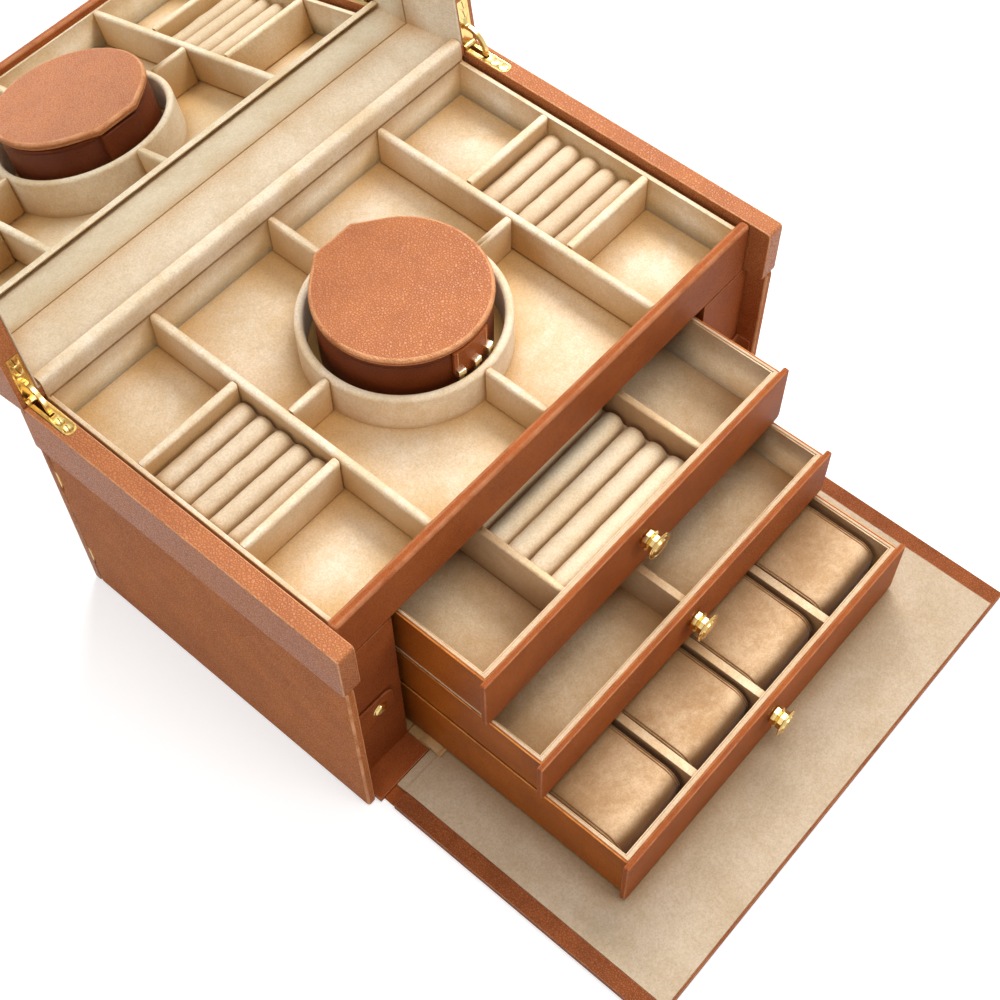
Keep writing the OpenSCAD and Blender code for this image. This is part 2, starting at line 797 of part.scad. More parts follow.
module upper_dividers() {
    x = (ring_bay_w + slim_divider_t) / 2;
    drawer_dividers(upper_z, upper_h, upper_out, [-x, x], slim_divider_t);
}

module middle_divider() {
    drawer_dividers(middle_z, middle_h, middle_out, [0], slim_divider_t);
}

module lower_dividers() {
    drawer_dividers(lower_z, lower_h, lower_out, [-watch_pitch, 0, watch_pitch], watch_divider_t);
}

// Turned knob with a round disc, and its screw from inside the drawer
module knob(z, h, out) {
    disc_t = 2.6;
    neck_r = 4.2;
    head_t = 1.2;
    color(metal) from_fascia() translate([0, -out, z + h - knob_drop]) rotate([90, 0, 0]) {
        rotate_extrude() polygon([[0, 0], [5.6, 0], [5.6, 1.2], [neck_r, 2.2], [neck_r - 0.6, 5],
            [neck_r, knob_h - disc_t - 1.6], [knob_d / 2 - 0.7, knob_h - disc_t], [knob_d / 2, knob_h - 1.3],
            [knob_d / 2 - 0.7, knob_h - 0.5], [3, knob_h - 0.4], [2, knob_h], [0, knob_h]]);
        translate([0, 0, -front_t - box_t - head_t]) cylinder(r = knob_screw_r, h = front_t + box_t + head_t + 0.1);
        translate([0, 0, -front_t - box_t - head_t]) cylinder(r = knob_hole_r - 0.3, h = head_t - 0.1);
    }
}

module drawer_rolls() {
    len = drawer_in_back(0) - drawer_in_front(0) - 0.6;
    n = floor(len / drawer_roll_pitch);
    color(suede) from_fascia()
        roll_row(-ring_bay_w / 2 + 0.4, ring_bay_w / 2 - 0.4, drawer_in_front(upper_out) + 0.3 + 2,
            (len - 2) / n, n, drawer_floor(upper_z), drawer_roll_h);
}

// Cushions lie across their compartments, with rounded front and back
module watch_cushions() {
    z0 = drawer_floor(lower_z) + seat_gap;
    top = lower_z + lower_h - 5;
    r = cushion_round;
    y0 = drawer_in_front(lower_out) + 4;
    outer_bay = (inner_half - watch_pitch - watch_divider_t / 2) / 2 + watch_pitch + watch_divider_t / 2;
    color(suede) from_fascia() for (x = [-outer_bay, -watch_pitch / 2, watch_pitch / 2, outer_bay])
        translate([x - cushion_shift, 0, 0]) hull()
            for (y = [y0 + r, y0 + cushion_d - r], z = [z0 + r, top - r])
                translate([0, y, z]) rod_x(r, cushion_len, $fn = 32);
}

// ---------- travel case ----------

module travel_base() {
    color(leather) from_fascia() translate([0, well_y, 0]) {
        difference() {
            translate([0, 0, travel_z]) cylinder(r = travel_r, h = travel_base_h, $fn = 96);
            translate([0, 0, travel_z + travel_wall_t])
                cylinder(r = travel_r - travel_wall_t, h = travel_base_h, $fn = 96);
        }
        difference() {
            span([-flap_w / 2, 0, travel_split - 20], [flap_w / 2, flap_y - well_y, travel_split]);
            translate([0, 0, travel_z]) cylinder(r = travel_r, h = 2 * travel_base_h, $fn = 96);
        }
    }
}

module travel_lining() {
    r = travel_r - travel_wall_t - 0.1;
    z = travel_z + travel_wall_t;
    color(suede) from_fascia() translate([0, well_y, z]) difference() {
        cylinder(r = r, h = travel_base_h - travel_wall_t - 0.5, $fn = 96);
        translate([0, 0, 1.2]) cylinder(r = r - 1.2, h = travel_base_h, $fn = 96);
    }
}

module travel_lid() {
    r = travel_d / 2;
    z = travel_split + travel_gap;
    color(leather) from_fascia() {
        translate([0, well_y, z]) rotate_extrude($fn = 96)
            polygon([[0, 0], [r - 1, 0], [r, 1], [r, travel_lid_t - 2], [r - 0.6, travel_lid_t - 0.8],
                [r - 2, travel_lid_t], [0, travel_lid_t]]);
        translate([0, well_y, z]) linear_extrude(travel_lid_t - 1) hull() {
            circle(r - 3, $fn = 96);
            translate([-flap_w / 2, 0]) square([flap_w, flap_y - well_y]);
        }
    }
}

// Closing tab: bends down from the lid over the front of the base
tab_in_r = travel_r + seat_gap;
travel_tab_t = 1.6;
travel_tab_z1 = travel_split + travel_gap;
travel_tab_z0 = travel_tab_z1 - travel_tab_len;

module travel_tab() {
    r = tab_in_r + travel_tab_t;
    color(leather) from_fascia() translate([0, well_y, 0]) intersection() {
        translate([0, 0, travel_tab_z0]) difference() {
            cylinder(r = r, h = travel_tab_len, $fn = 96);
            translate([0, 0, -1]) cylinder(r = tab_in_r, h = travel_tab_len + 2, $fn = 96);
        }
        span([-travel_tab_w / 2, -r - 1, travel_tab_z0], [travel_tab_w / 2, 0, travel_tab_z1]);
    }
}

// Three small brass claws along the lower edge of the tab
module travel_clasp() {
    r = tab_in_r + travel_tab_t;
    color(metal) from_fascia() translate([0, well_y, travel_tab_z0]) difference() {
        for (a = [-claw_step, 0, claw_step]) rotate([0, 0, a])
            translate([0, -r, 0]) span([-claw_w / 2, -claw_t, 0.5], [claw_w / 2, 1, 0.5 + claw_h]);
        translate([0, 0, -1]) cylinder(r = r + seat_gap / 2, h = travel_tab_len, $fn = 96);
    }
}

felt_pad();
base_board();
ledge_lining();
cabinet_walls();
back_panel();
fascia_strips();
front_rail();
collar(-1);  // collar_left
collar(1);  // collar_right
top_deck();
drawer_runners();
necklace_hooks();
door_hinges();
door_pins();
hinge_plates();
hinge_pins();
plate_screws();
tray_shell();
long_dividers();
cross_dividers();
ring_well();
tray_rolls();
lid_board();
lid_frame();
lid_lining();
mirror_glass();  // mirror
lid_arms();
leaf_screws();
fall_front_panel();
fall_front_lining();
side_door(-1);  // side_door_left
side_door(1);  // side_door_right
side_lining(-1);  // side_lining_left
side_lining(1);  // side_lining_right
door_tab(-1);  // door_tab_left
door_tab(1);  // door_tab_right
tab_stud(-1);  // tab_stud_left
tab_stud(1);  // tab_stud_right
drawer_box(upper_z, upper_h, upper_out);  // upper_box
drawer_front(upper_z, upper_h, upper_out);  // upper_front
drawer_lining(upper_z, upper_h, upper_out);  // upper_lining
upper_dividers();
knob(upper_z, upper_h, upper_out);  // upper_knob
drawer_rolls();
drawer_box(middle_z, middle_h, middle_out);  // middle_box
drawer_front(middle_z, middle_h, middle_out);  // middle_front
drawer_lining(middle_z, middle_h, middle_out);  // middle_lining
middle_divider();
knob(middle_z, middle_h, middle_out);  // middle_knob
drawer_box(lower_z, lower_h, lower_out);  // lower_box
drawer_front(lower_z, lower_h, lower_out);  // lower_front
drawer_lining(lower_z, lower_h, lower_out);  // lower_lining
lower_dividers();
knob(lower_z, lower_h, lower_out);  // lower_knob
watch_cushions();
travel_base();
travel_lining();
travel_lid();
travel_tab();
travel_clasp();
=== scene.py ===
"""Leather jewellery case: finishes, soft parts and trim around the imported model."""

import math

import bmesh
import bpy
from mathutils import Matrix, Vector, geometry, noise
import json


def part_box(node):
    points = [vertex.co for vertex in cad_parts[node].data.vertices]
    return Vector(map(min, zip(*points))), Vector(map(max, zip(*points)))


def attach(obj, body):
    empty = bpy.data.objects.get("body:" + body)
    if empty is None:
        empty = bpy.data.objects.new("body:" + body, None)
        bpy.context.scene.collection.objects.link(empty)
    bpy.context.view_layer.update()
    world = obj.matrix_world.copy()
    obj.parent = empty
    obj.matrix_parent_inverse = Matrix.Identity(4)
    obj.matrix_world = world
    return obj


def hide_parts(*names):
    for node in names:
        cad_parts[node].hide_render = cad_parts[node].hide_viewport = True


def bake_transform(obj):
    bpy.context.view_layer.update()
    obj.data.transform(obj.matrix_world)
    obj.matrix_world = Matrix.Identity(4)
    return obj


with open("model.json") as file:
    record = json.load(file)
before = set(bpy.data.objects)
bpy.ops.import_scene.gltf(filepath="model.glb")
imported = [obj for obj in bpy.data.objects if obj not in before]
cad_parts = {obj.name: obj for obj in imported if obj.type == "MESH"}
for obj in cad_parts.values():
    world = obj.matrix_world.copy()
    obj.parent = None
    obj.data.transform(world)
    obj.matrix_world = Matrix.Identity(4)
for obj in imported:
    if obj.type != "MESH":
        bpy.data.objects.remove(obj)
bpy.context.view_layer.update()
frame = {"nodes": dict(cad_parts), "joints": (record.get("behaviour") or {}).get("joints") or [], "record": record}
NODES = frame["nodes"]
BODY_OF = {n: b for b, ns in frame["record"]["behaviour"]["bodies"].items() for n in ns}
JOINTS = {j["name"]: j for j in frame["joints"]}
MM = 0.001
SIDES = ("left", "right")

# --- the lid's pin, taken from the frame ---

# OPENED carries shut coordinates, measured from the pin, to their place with the lid open
LID_PIN = Vector(JOINTS["lid_hinge"]["pos_m"])
LID_ANGLE = math.radians(-JOINTS["lid_hinge"]["range_deg"][0])
OPENED = Matrix.Translation(LID_PIN) @ Matrix.Rotation(-LID_ANGLE, 4, "X")
CLOSED = OPENED.inverted()


# --- meshes ---


def placed(name, data):
    """A new object of the scene"""
    obj = bpy.data.objects.new(name, data)
    bpy.context.scene.collection.objects.link(obj)
    return obj


def mesh_of(bm, name):
    """A mesh from a bmesh, which is used up"""
    mesh = bpy.data.meshes.new(name)
    bm.to_mesh(mesh)
    bm.free()
    return mesh


def shaded(mesh, material, angle):
    """One material, and smooth shading up to an angle in degrees"""
    mesh.materials.clear()
    mesh.materials.append(material)
    if angle:
        mesh.shade_smooth()
        mesh.set_sharp_from_angle(angle=math.radians(angle))
    return mesh


def declared(obj, body=None, replaces=()):
    """Says which body a piece rides on, which nodes it stands for"""
    if body:
        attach(obj, body)
    if replaces:
        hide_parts(*replaces)
    return obj


def piece_from(bm, name, material, body=None, replaces=(), smooth=40):
    """A finished object from a bmesh"""
    mesh = shaded(mesh_of(bm, name), material, smooth)
    return declared(placed(name, mesh), body, replaces)


def node_bmesh(node):
    """The solid of a node, its doubled points merged and its flat faces whole"""
    bm = bmesh.new()
    bm.from_mesh(NODES[node].data)
    bmesh.ops.remove_doubles(bm, verts=bm.verts, dist=1e-6)
    bmesh.ops.dissolve_limit(bm, angle_limit=math.radians(0.5), verts=bm.verts, edges=bm.edges)
    return bm


def outward(bm):
    """Turns every face outwards"""
    bmesh.ops.recalc_face_normals(bm, faces=bm.faces)
    return bm


def box_of(points):
    """The low and the high corner of the box round some points"""
    points = list(points)
    return tuple(Vector(pick(p[k] for p in points) for k in range(3)) for pick in (min, max))


def bevelled(bm, edges, offset, segments):
    return bmesh.ops.bevel(bm, geom=edges, offset=offset, segments=segments, profile=0.5,
                           affect="EDGES", clamp_overlap=True)


def round_edges(bm, edges, radius, segments):
    """Rounds edges by a radius in mm; the mask of wear and painted highlight is 1 inside the new faces, 0 on flat
    ones
    """
    bm.loops.layers.float.new("wear_and_highlight")
    made = bevelled(bm, edges, radius * MM, segments)
    layer = bm.loops.layers.float.get("wear_and_highlight")
    fresh = set(made["faces"])
    flat = {v for f in bm.faces if f not in fresh for v in f.verts}
    for face in fresh:
        for loop in face.loops:
            loop[layer] = 0.0 if loop.vert in flat else 1.0
    split_large(bm)
    return bm


def split_large(bm):
    """Triangles in place of faces with more than four corners"""
    bmesh.ops.triangulate(bm, faces=[f for f in bm.faces if len(f.verts) > 4])


def weighted_normals(obj):
    """Flat faces stay flat beside their rounded edges"""
    weighted = obj.modifiers.new("weighted", "WEIGHTED_NORMAL")
    weighted.keep_sharp = True
    weighted.weight = 100
    return obj


def soften(node, radius, material, least=20, segments=4):
    """The node's own solid with its corners of at least that many mm rounded"""
    bm = node_bmesh(node)
    corners = [e for e in bm.edges if len(e.link_faces) == 2 and e.calc_length() >= least * MM
               and e.calc_face_angle_signed() > math.radians(50)]
    round_edges(bm, corners, radius, segments)
    return weighted_normals(piece_from(bm, node + "_soft", material, BODY_OF[node], [node],
                                       smooth=60))


def rounded_outline(points, radii, n=4):
    """An outline with its corners rounded by radii in mm"""
    out = []
    for i, here in enumerate(map(Vector, points)):
        before = (Vector(points[i - 1]) - here).normalized() * radii[i] * MM
        after = (Vector(points[(i + 1) % len(points)]) - here).normalized() * radii[i] * MM
        for t in (k / n for k in range(n + 1)) if radii[i] else [0]:
            out.append(tuple(here + before * (1 - t) ** 2 + after * t ** 2))
    return out


def rectangle(u0, v0, u1, v1):
    """Corners of a rectangle, from its low corner"""
    return [(u0, v0), (u1, v0), (u1, v1), (u0, v1)]


def slab(outline, axis, lo, hi, radius, segments=3):
    """An outline across an axis, from lo to hi along it, its two rims rounded"""
    place = "XYZ".index(axis)
    bm = bmesh.new()
    low, high = ([bm.verts.new((*p[:place], h, *p[place:])) for p in outline] for h in (lo, hi))
    rims = [bm.faces.new(low), bm.faces.new(high)]
    skin(bm, [low, high])
    return round_edges(bm, list({e for f in rims for e in f.edges}), radius, segments)


def skin(bm, rows, ring=True, capped=False):
    """Faces between neighbouring rows of points; each row is a ring, or open"""
    for low, high in zip(rows, rows[1:]):
        for k in range(len(low) if ring else len(low) - 1):
            m = (k + 1) % len(low)
            bm.faces.new((low[k], low[m], high[m], high[k]))
    if capped:
        bm.faces.new(reversed(rows[0]))
        bm.faces.new(rows[-1])
    return outward(bm)


def thickened(bm, thickness):
    """A sheet given a thickness in metres"""
    bmesh.ops.solidify(bm, geom=list(bm.faces), thickness=thickness)
    return outward(bm)


def plain_mesh(obj):
    """A mesh of an object as its modifiers leave it"""
    graph = bpy.context.evaluated_depsgraph_get()
    return bpy.data.meshes.new_from_object(obj.evaluated_get(graph), depsgraph=graph)


def carve(obj, boxes, round_off=0.0):
    """Cuts boxes out of a piece; the boxes of one cut stand clear of each other"""
    bars = merge(*[rounded_bar(low, high, round_off) for low, high in boxes])
    cutter = placed("cutter", mesh_of(bars, "cutter"))
    obj.modifiers.new("cut", "BOOLEAN").object = cutter
    mesh = plain_mesh(obj)
    obj.modifiers.clear()
    obj.data = mesh
    bpy.data.objects.remove(cutter)
    return obj


def solids_of(node, side=None):
    """The box of each solid in a node, or of those on one side, from left to right"""
    bm = node_bmesh(node)
    left = set(bm.verts)
    boxes = []
    while left:
        group, waiting = [], [left.pop()]
        while waiting:
            vert = waiting.pop()
            group.append(vert.co.copy())
            for other in (edge.other_vert(vert) for edge in vert.link_edges):
                if other in left:
                    left.remove(other)
                    waiting.append(other)
        boxes.append(box_of(group))
    bm.free()
    boxes.sort(key=lambda b: tuple(b[0]))
    return [b for b in boxes if side is None or (b[0].x < 0) == (side == "left")]


def circle(n):
    """Cosine and sine of n even steps round a circle"""
    return [(math.cos(a), math.sin(a)) for a in (2 * math.pi * i / n for i in range(n))]


def lathe(profile, steps=96, centre=(0, 0, 0), capped=True):
    """A turned shape from a list of (radius, height) in mm"""
    bm = bmesh.new()
    rings = [[bm.verts.new((r * MM * c, r * MM * s, h * MM))
              for c, s in (circle(steps) if r else [(0, 0)])] for r, h in profile]
    for low, high in zip(rings, rings[1:]):
        for i in range(steps):
            j = (i + 1) % steps
            corners = [low[i % len(low)], low[j % len(low)], high[j % len(high)], high[i % len(high)]]
            unique = list(dict.fromkeys(corners))
            if len(unique) > 2:
                bm.faces.new(unique)
    for ring in (rings[0][::-1], rings[-1]) if capped else ():
        if len(ring) > 1:
            bm.faces.new(ring)
    bm.transform(Matrix.Translation(centre))
    return outward(bm)


def facing_front(bm, middle):
    """Turns a lathe's shape to face the front, its base at a point"""
    bm.transform(Matrix.Translation(middle) @ Matrix.Rotation(math.radians(90), 4, "X"))
    return bm


def arc(cx, cy, r, a0, a1, n=6):
    """Points on an arc, angles in degrees"""
    angles = (math.radians(a0 + (a1 - a0) * i / n) for i in range(n + 1))
    return [(cx + r * math.cos(a), cy + r * math.sin(a)) for a in angles]


def rounded_bar(lo, hi, radius, segments=4):
    """A box between two corners, its edges rounded by a radius in mm"""
    bm = bmesh.new()
    bmesh.ops.create_cube(bm, size=1)
    size = Vector(hi) - Vector(lo)
    bm.transform(Matrix.Translation((Vector(lo) + Vector(hi)) / 2) @ Matrix.Diagonal((*size, 1)))
    if radius:
        bevelled(bm, list(bm.edges), min(radius * MM, min(size) * 0.49), segments)
    return bm


def merge(*parts):
    """Several bmeshes in one"""
    whole = bmesh.new()
    for part in parts:
        mesh = mesh_of(part, "part")
        whole.from_mesh(mesh)
        bpy.data.meshes.remove(mesh)
    return whole


def tube(points, radius, sides=8, closed=False):
    """A round tube along points, in metres"""
    pts = [Vector(p) for p in points]
    n = len(pts)
    bm = bmesh.new()
    rings = []
    side = None
    for i, p in enumerate(pts):
        ahead = pts[(i + 1) % n] if closed or i < n - 1 else p
        behind = pts[i - 1] if closed or i > 0 else p
        along = (ahead - behind).normalized()
        if side is None:
            side = along.orthogonal().normalized()
        side = (side - along * side.dot(along)).normalized()
        up = along.cross(side)
        rings.append([bm.verts.new(p + radius * (c * side + s * up)) for c, s in circle(sides)])
    return skin(bm, rings + rings[:1] if closed else rings, capped=not closed)


def sheet_strip(section, x0, x1, thickness, steps=48):
    """A bent sheet: a section of (y, z) points run along X"""
    bm = bmesh.new()
    rows = [[bm.verts.new((x0 + (x1 - x0) * i / steps, y, z)) for y, z in section]
            for i in range(steps + 1)]
    return thickened(skin(bm, rows, ring=False), thickness)


# --- node trees ---


def put(tree, kind, inputs=None, **settings):
    """Adds a node; inputs are constants, or sockets to join"""
    node = tree.nodes.new(kind)
    for key, value in settings.items():
        setattr(node, key, value)
    for key, value in (inputs or {}).items():
        give(tree, node.inputs[key], value)
    return node


def give(tree, socket, value):
    """Joins a socket to another one, or sets it to a constant"""
    if isinstance(value, bpy.types.NodeSocket):
        tree.links.new(value, socket)
    else:
        socket.default_value = value


def new_group(name, kind, inputs, outputs):
    """A node group with its input and output sockets"""
    tree = bpy.data.node_groups.new(name, kind + "NodeTree")
    for way, sockets in (("INPUT", inputs), ("OUTPUT", outputs)):
        for key, holds in sockets.items():
            tree.interface.new_socket(key, in_out=way, socket_type="NodeSocket" + holds)
    return tree, put(tree, "NodeGroupInput").outputs, put(tree, "NodeGroupOutput").inputs


def math_node(tree, operation, *values, clamp=False):
    return put(tree, "ShaderNodeMath", dict(enumerate(values)), operation=operation,
               use_clamp=clamp).outputs[0]


def times(tree, a, b, *plus, clamp=False):
    """Two values multiplied, and a third one added where it is given"""
    return math_node(tree, "MULTIPLY_ADD" if plus else "MULTIPLY", a, b, *plus, clamp=clamp)


def ramp(tree, value, low, high):
    """Maps low..high to 0..1"""
    node = put(tree, "ShaderNodeMapRange", {0: value, 1: low, 2: high}, interpolation_type="SMOOTHSTEP")
    return node.outputs[0]


def own_place(tree, socket="Object"):
    """Coordinates of the piece itself"""
    return put(tree, "ShaderNodeTexCoord").outputs[socket]


def speckle(tree, scale, detail, roughness=0.5, distortion=0.0):
    """Noise fixed to the piece: its value first, its colour second"""
    return put(tree, "ShaderNodeTexNoise", {
        "Vector": own_place(tree), "Scale": scale, "Detail": detail, "Roughness": roughness,
        "Distortion": distortion,
    }).outputs


def pebble_group():
    """Leather grain: Height of the pebbles, Crease between them, and Tone over larger patches"""
    tree, given, out = new_group("leather_pebbles", "Shader", {"Scale": "Float"}, {
        "Height": "Float", "Crease": "Float", "Tone": "Float"})
    warp = speckle(tree, 320.0, 2.0)[1]
    shift = put(tree, "ShaderNodeVectorMath", {0: warp, 1: (0.0016,) * 3}, operation="MULTIPLY")
    moved = put(tree, "ShaderNodeVectorMath", {0: own_place(tree), 1: shift.outputs[0]}, operation="ADD")
    cells = put(tree, "ShaderNodeTexVoronoi", {"Vector": moved.outputs[0], "Scale": given["Scale"]},
                feature="DISTANCE_TO_EDGE").outputs["Distance"]
    fine = speckle(tree, 2600.0, 2.0)[0]
    give(tree, out["Height"], times(tree, fine, 0.18, ramp(tree, cells, 0.0, 0.32)))
    give(tree, out["Crease"], ramp(tree, cells, 0.16, 0.03))
    give(tree, out["Tone"], ramp(tree, speckle(tree, 34.0, 4.0, 0.6)[0], 0.3, 0.7))
    return tree


def wear_and_highlight_group():
    """Edge wear and painted highlight: the pieces' own edge value, broken up by noise"""
    tree, given, out = new_group("edge_wear_and_highlight", "Shader", {"Amount": "Float"}, {"Mask": "Float"})
    edge = put(tree, "ShaderNodeAttribute", attribute_name="wear_and_highlight").outputs["Fac"]
    mask = times(tree, edge, ramp(tree, speckle(tree, 60.0, 5.0, 0.7)[0], 0.25, 0.62))
    give(tree, out["Mask"], times(tree, mask, given["Amount"], clamp=True))
    return tree


def nap_group():
    """Suede: Brush marks over patches, Fuzz of the nap, and Height"""
    tree, _, out = new_group("suede_nap", "Shader", {}, {
        "Brush": "Float", "Fuzz": "Float", "Height": "Float"})
    broad = speckle(tree, 26.0, 7.0, 0.66, 0.4)[0]
    brush = times(tree, speckle(tree, 210.0, 4.0, 0.75)[0], 0.5, broad)
    hair = speckle(tree, 850.0, 3.0, 0.75)[0]
    give(tree, out["Brush"], ramp(tree, brush, 0.55, 0.95))
    give(tree, out["Fuzz"], ramp(tree, hair, 0.32, 0.68))
    give(tree, out["Height"], times(tree, hair, 0.6, speckle(tree, 420.0, 4.0, 0.8)[0]))
    return tree


PEBBLES = pebble_group()
WEAR_AND_HIGHLIGHT = wear_and_highlight_group()
NAP = nap_group()

# Metres of relief at full height: leather pebbles, and the nap of suede
PEBBLE_RELIEF, NAP_RELIEF = 0.00025, 0.0006
# The mix node's sockets for share, first colour and second colour, and for the mixed colour
MIX_IN, MIX_OUT = (0, 6, 7), 2


def new_material(name):
    material = bpy.data.materials.new(name)
    material.use_nodes = True
    return material, material.node_tree


def finish(material, **looks):
    """Values or sockets for the inputs of its shader, words joined by an underscore"""
    tree = material.node_tree
    for key, value in looks.items():
        give(tree, tree.nodes["Principled BSDF"].inputs[key.replace("_", " ")], value)
    return material


def grouped(tree, group, **values):
    return put(tree, "ShaderNodeGroup", values, node_tree=group).outputs


def mix(tree, fac, a, b):
    """A colour between a and b, which are colours or sockets"""
    a, b = (c if isinstance(c, bpy.types.NodeSocket) else (*c, 1.0) for c in (a, b))
    return put(tree, "ShaderNodeMix", dict(zip(MIX_IN, (fac, a, b))), data_type="RGBA").outputs[MIX_OUT]


def darker(colour, share):
    return [c * share for c in colour]


def bump(tree, strength, relief, height):
    values = {"Strength": strength, "Distance": relief, "Height": height}
    return put(tree, "ShaderNodeBump", values).outputs[0]


def leather(name, base, deep, worn_and_highlit, scale, relief, rough, shine, wear_and_highlight=0.8):
    """Dyed leather with a painted highlight on the pebble tops, painted shade in the creases, and wear with a
    painted highlight along rounded edges; scale in cells per metre
    """
    material, tree = new_material(name)
    grain = grouped(tree, PEBBLES, Scale=scale)
    colour = mix(tree, grain["Tone"], deep, base)
    # Painted highlight: the tops of the pebbles are mixed towards the lighter colour
    colour = mix(tree, times(tree, grain["Height"], 0.14), colour, worn_and_highlit)
    # Painted shade: the creases between the pebbles are mixed towards a darker colour
    colour = mix(tree, times(tree, grain["Crease"], 0.4), colour, darker(deep, 0.55))
    # Wear and painted highlight: rounded edges are mixed towards the lighter colour
    colour = mix(tree, grouped(tree, WEAR_AND_HIGHLIGHT, Amount=wear_and_highlight)["Mask"], colour, worn_and_highlit)
    roughness = times(tree, grain["Crease"], 0.2, rough)
    return finish(material, Base_Color=colour, Specular_IOR_Level=shine,
           Roughness=times(tree, grain["Tone"], 0.06, roughness),
           Normal=bump(tree, relief, PEBBLE_RELIEF, grain["Height"]))


def suede(name, light, dark, shade, reach=0.028, upright_shade=0.12, sheen=0.3):
    """Brushed suede, with painted shade in corners and on upright faces"""
    material, tree = new_material(name)
    nap = grouped(tree, NAP)
    colour = mix(tree, nap["Brush"], dark, light)
    # Painted shade: upright faces are mixed towards the shade colour
    facing = put(tree, "ShaderNodeSeparateXYZ", {0: own_place(tree, "Normal")}).outputs["Z"]
    level = math_node(tree, "ABSOLUTE", facing)
    colour = mix(tree, times(tree, ramp(tree, level, 0.7, 0.2), upright_shade), colour, shade)
    # Painted shade: corners and hollows within reach, found by ambient occlusion, are mixed towards the shade
    # colour
    painted_occlusion = put(tree, "ShaderNodeAmbientOcclusion", {"Distance": reach}, samples=6).outputs["AO"]
    colour = mix(tree, ramp(tree, painted_occlusion, 0.3, 1.0), shade, colour)
    speck = times(tree, nap["Fuzz"], 0.26, 0.78)
    return finish(material, Base_Color=mix(tree, speck, darker(dark, 0.25), colour), Roughness=0.95,
           Specular_IOR_Level=0.1, Sheen_Weight=sheen, Sheen_Roughness=0.45,
           Sheen_Tint=(1.0, 0.88, 0.7, 1.0), Normal=bump(tree, 0.8, NAP_RELIEF, nap["Height"]))


def metal(name, colour, rough):
    """Polished metal with faint wipe marks"""
    material, tree = new_material(name)
    smear = speckle(tree, 160.0, 4.0)[0]
    return finish(material, Roughness=times(tree, smear, 0.12, rough),
           Base_Color=mix(tree, ramp(tree, smear, 0.3, 0.7), darker(colour, 0.86), colour), Metallic=1.0)


def thread(name, colour):
    """Twisted sewing thread"""
    material, tree = new_material(name)
    twist = put(tree, "ShaderNodeTexWave", {"Vector": own_place(tree), "Scale": 900.0, "Distortion": 1.0})
    colour = mix(tree, twist.outputs["Fac"], darker(colour, 0.6), colour)
    return finish(material, Base_Color=colour, Roughness=0.7)


def silvered(name):
    """Mirror glass with the faintest dust"""
    material, tree = new_material(name)
    dust = speckle(tree, 90.0, 6.0)[0]
    return finish(material, Roughness=times(tree, dust, 0.03),
           Base_Color=(0.9, 0.92, 0.9, 1.0), Metallic=1.0)


PEBBLED = leather(
    "pebbled_leather", (0.45, 0.138, 0.034), (0.37, 0.1, 0.02), (0.72, 0.34, 0.15), 600, 1.0, 0.38, shine=0.42)
# The pebbled leather again, painted lighter for the light on the doors' sides, with less shine
DOOR_LEATHER_PAINTED_LIGHTER = leather(
    "door_leather_painted_lighter", (0.54, 0.175, 0.05), (0.42, 0.12, 0.028), (0.76, 0.38, 0.19), 600, 1.0, 0.5, shine=0.08)
EDGE_LEATHER = leather(
    "fall_front_leather", (0.27, 0.07, 0.018), (0.19, 0.045, 0.01), (0.5, 0.22, 0.1), 700, 0.6, 0.45, shine=0.1)
SMOOTH = leather(
    "smooth_leather", (0.37, 0.084, 0.012), (0.27, 0.054, 0.006), (0.62, 0.29, 0.14), 1300, 0.5, 0.4,
    shine=0.13, wear_and_highlight=0.45)
GLAZED = leather(
    "glazed_leather", (0.38, 0.09, 0.005), (0.27, 0.056, 0.003), (0.8, 0.32, 0.08), 1800, 0.1, 0.28,
    shine=0.12, wear_and_highlight=1.0)
DARK = leather(
    "inner_leather", (0.16, 0.045, 0.012), (0.1, 0.026, 0.007), (0.3, 0.12, 0.05), 1400, 0.2, 0.5, shine=0.3)
GLOSS = leather(
    "dark_smooth_leather", (0.13, 0.02, 0.002), (0.09, 0.012, 0.001), (0.45, 0.15, 0.04), 1500, 0.25, 0.3,
    shine=0.2)
SUEDE = suede(
    "beige_suede", (0.85, 0.73, 0.57), (0.73, 0.56, 0.36), (0.56, 0.31, 0.1), reach=0.034, upright_shade=0.2)
# The beige suede painted darker on the lid's lining, as painted shade
LID_LINING_SUEDE_PAINTED_DARKER = suede(
    "lid_lining_suede_painted_darker", (0.72, 0.6, 0.45), (0.63, 0.49, 0.33), (0.5, 0.28, 0.12), reach=0.02, upright_shade=0.0)
# The beige suede painted darker on the fall-front's lining, as painted shade
FALL_FRONT_SUEDE_PAINTED_DARKER = suede(
    "fall_front_suede_painted_darker", (0.57, 0.45, 0.325), (0.5, 0.375, 0.245), (0.4, 0.25, 0.12), reach=0.02)
# The beige suede painted lighter on the well, with little painted corner shade, to stand in for light in its
# narrow gap
WELL_SUEDE_PAINTED_LIGHTER = suede("well_suede_painted_lighter", (0.87, 0.74, 0.57), (0.75, 0.57, 0.36), (0.62, 0.38, 0.16), reach=0.006)
# The beige suede painted darker on the tray's rolls, as painted shade
TRAY_ROLL_SUEDE_PAINTED_DARKER = suede(
    "tray_roll_suede_painted_darker", (0.72, 0.58, 0.42), (0.63, 0.48, 0.32), (0.45, 0.27, 0.12), reach=0.012, upright_shade=0.0)
# The beige suede painted lighter on the drawer's rolls, to stand in for light that the drawer does not get
DRAWER_ROLL_SUEDE_PAINTED_LIGHTER = suede(
    "drawer_roll_suede_painted_lighter", (0.95, 0.8, 0.58), (0.86, 0.67, 0.43), (0.55, 0.34, 0.16), reach=0.01, upright_shade=0.0)
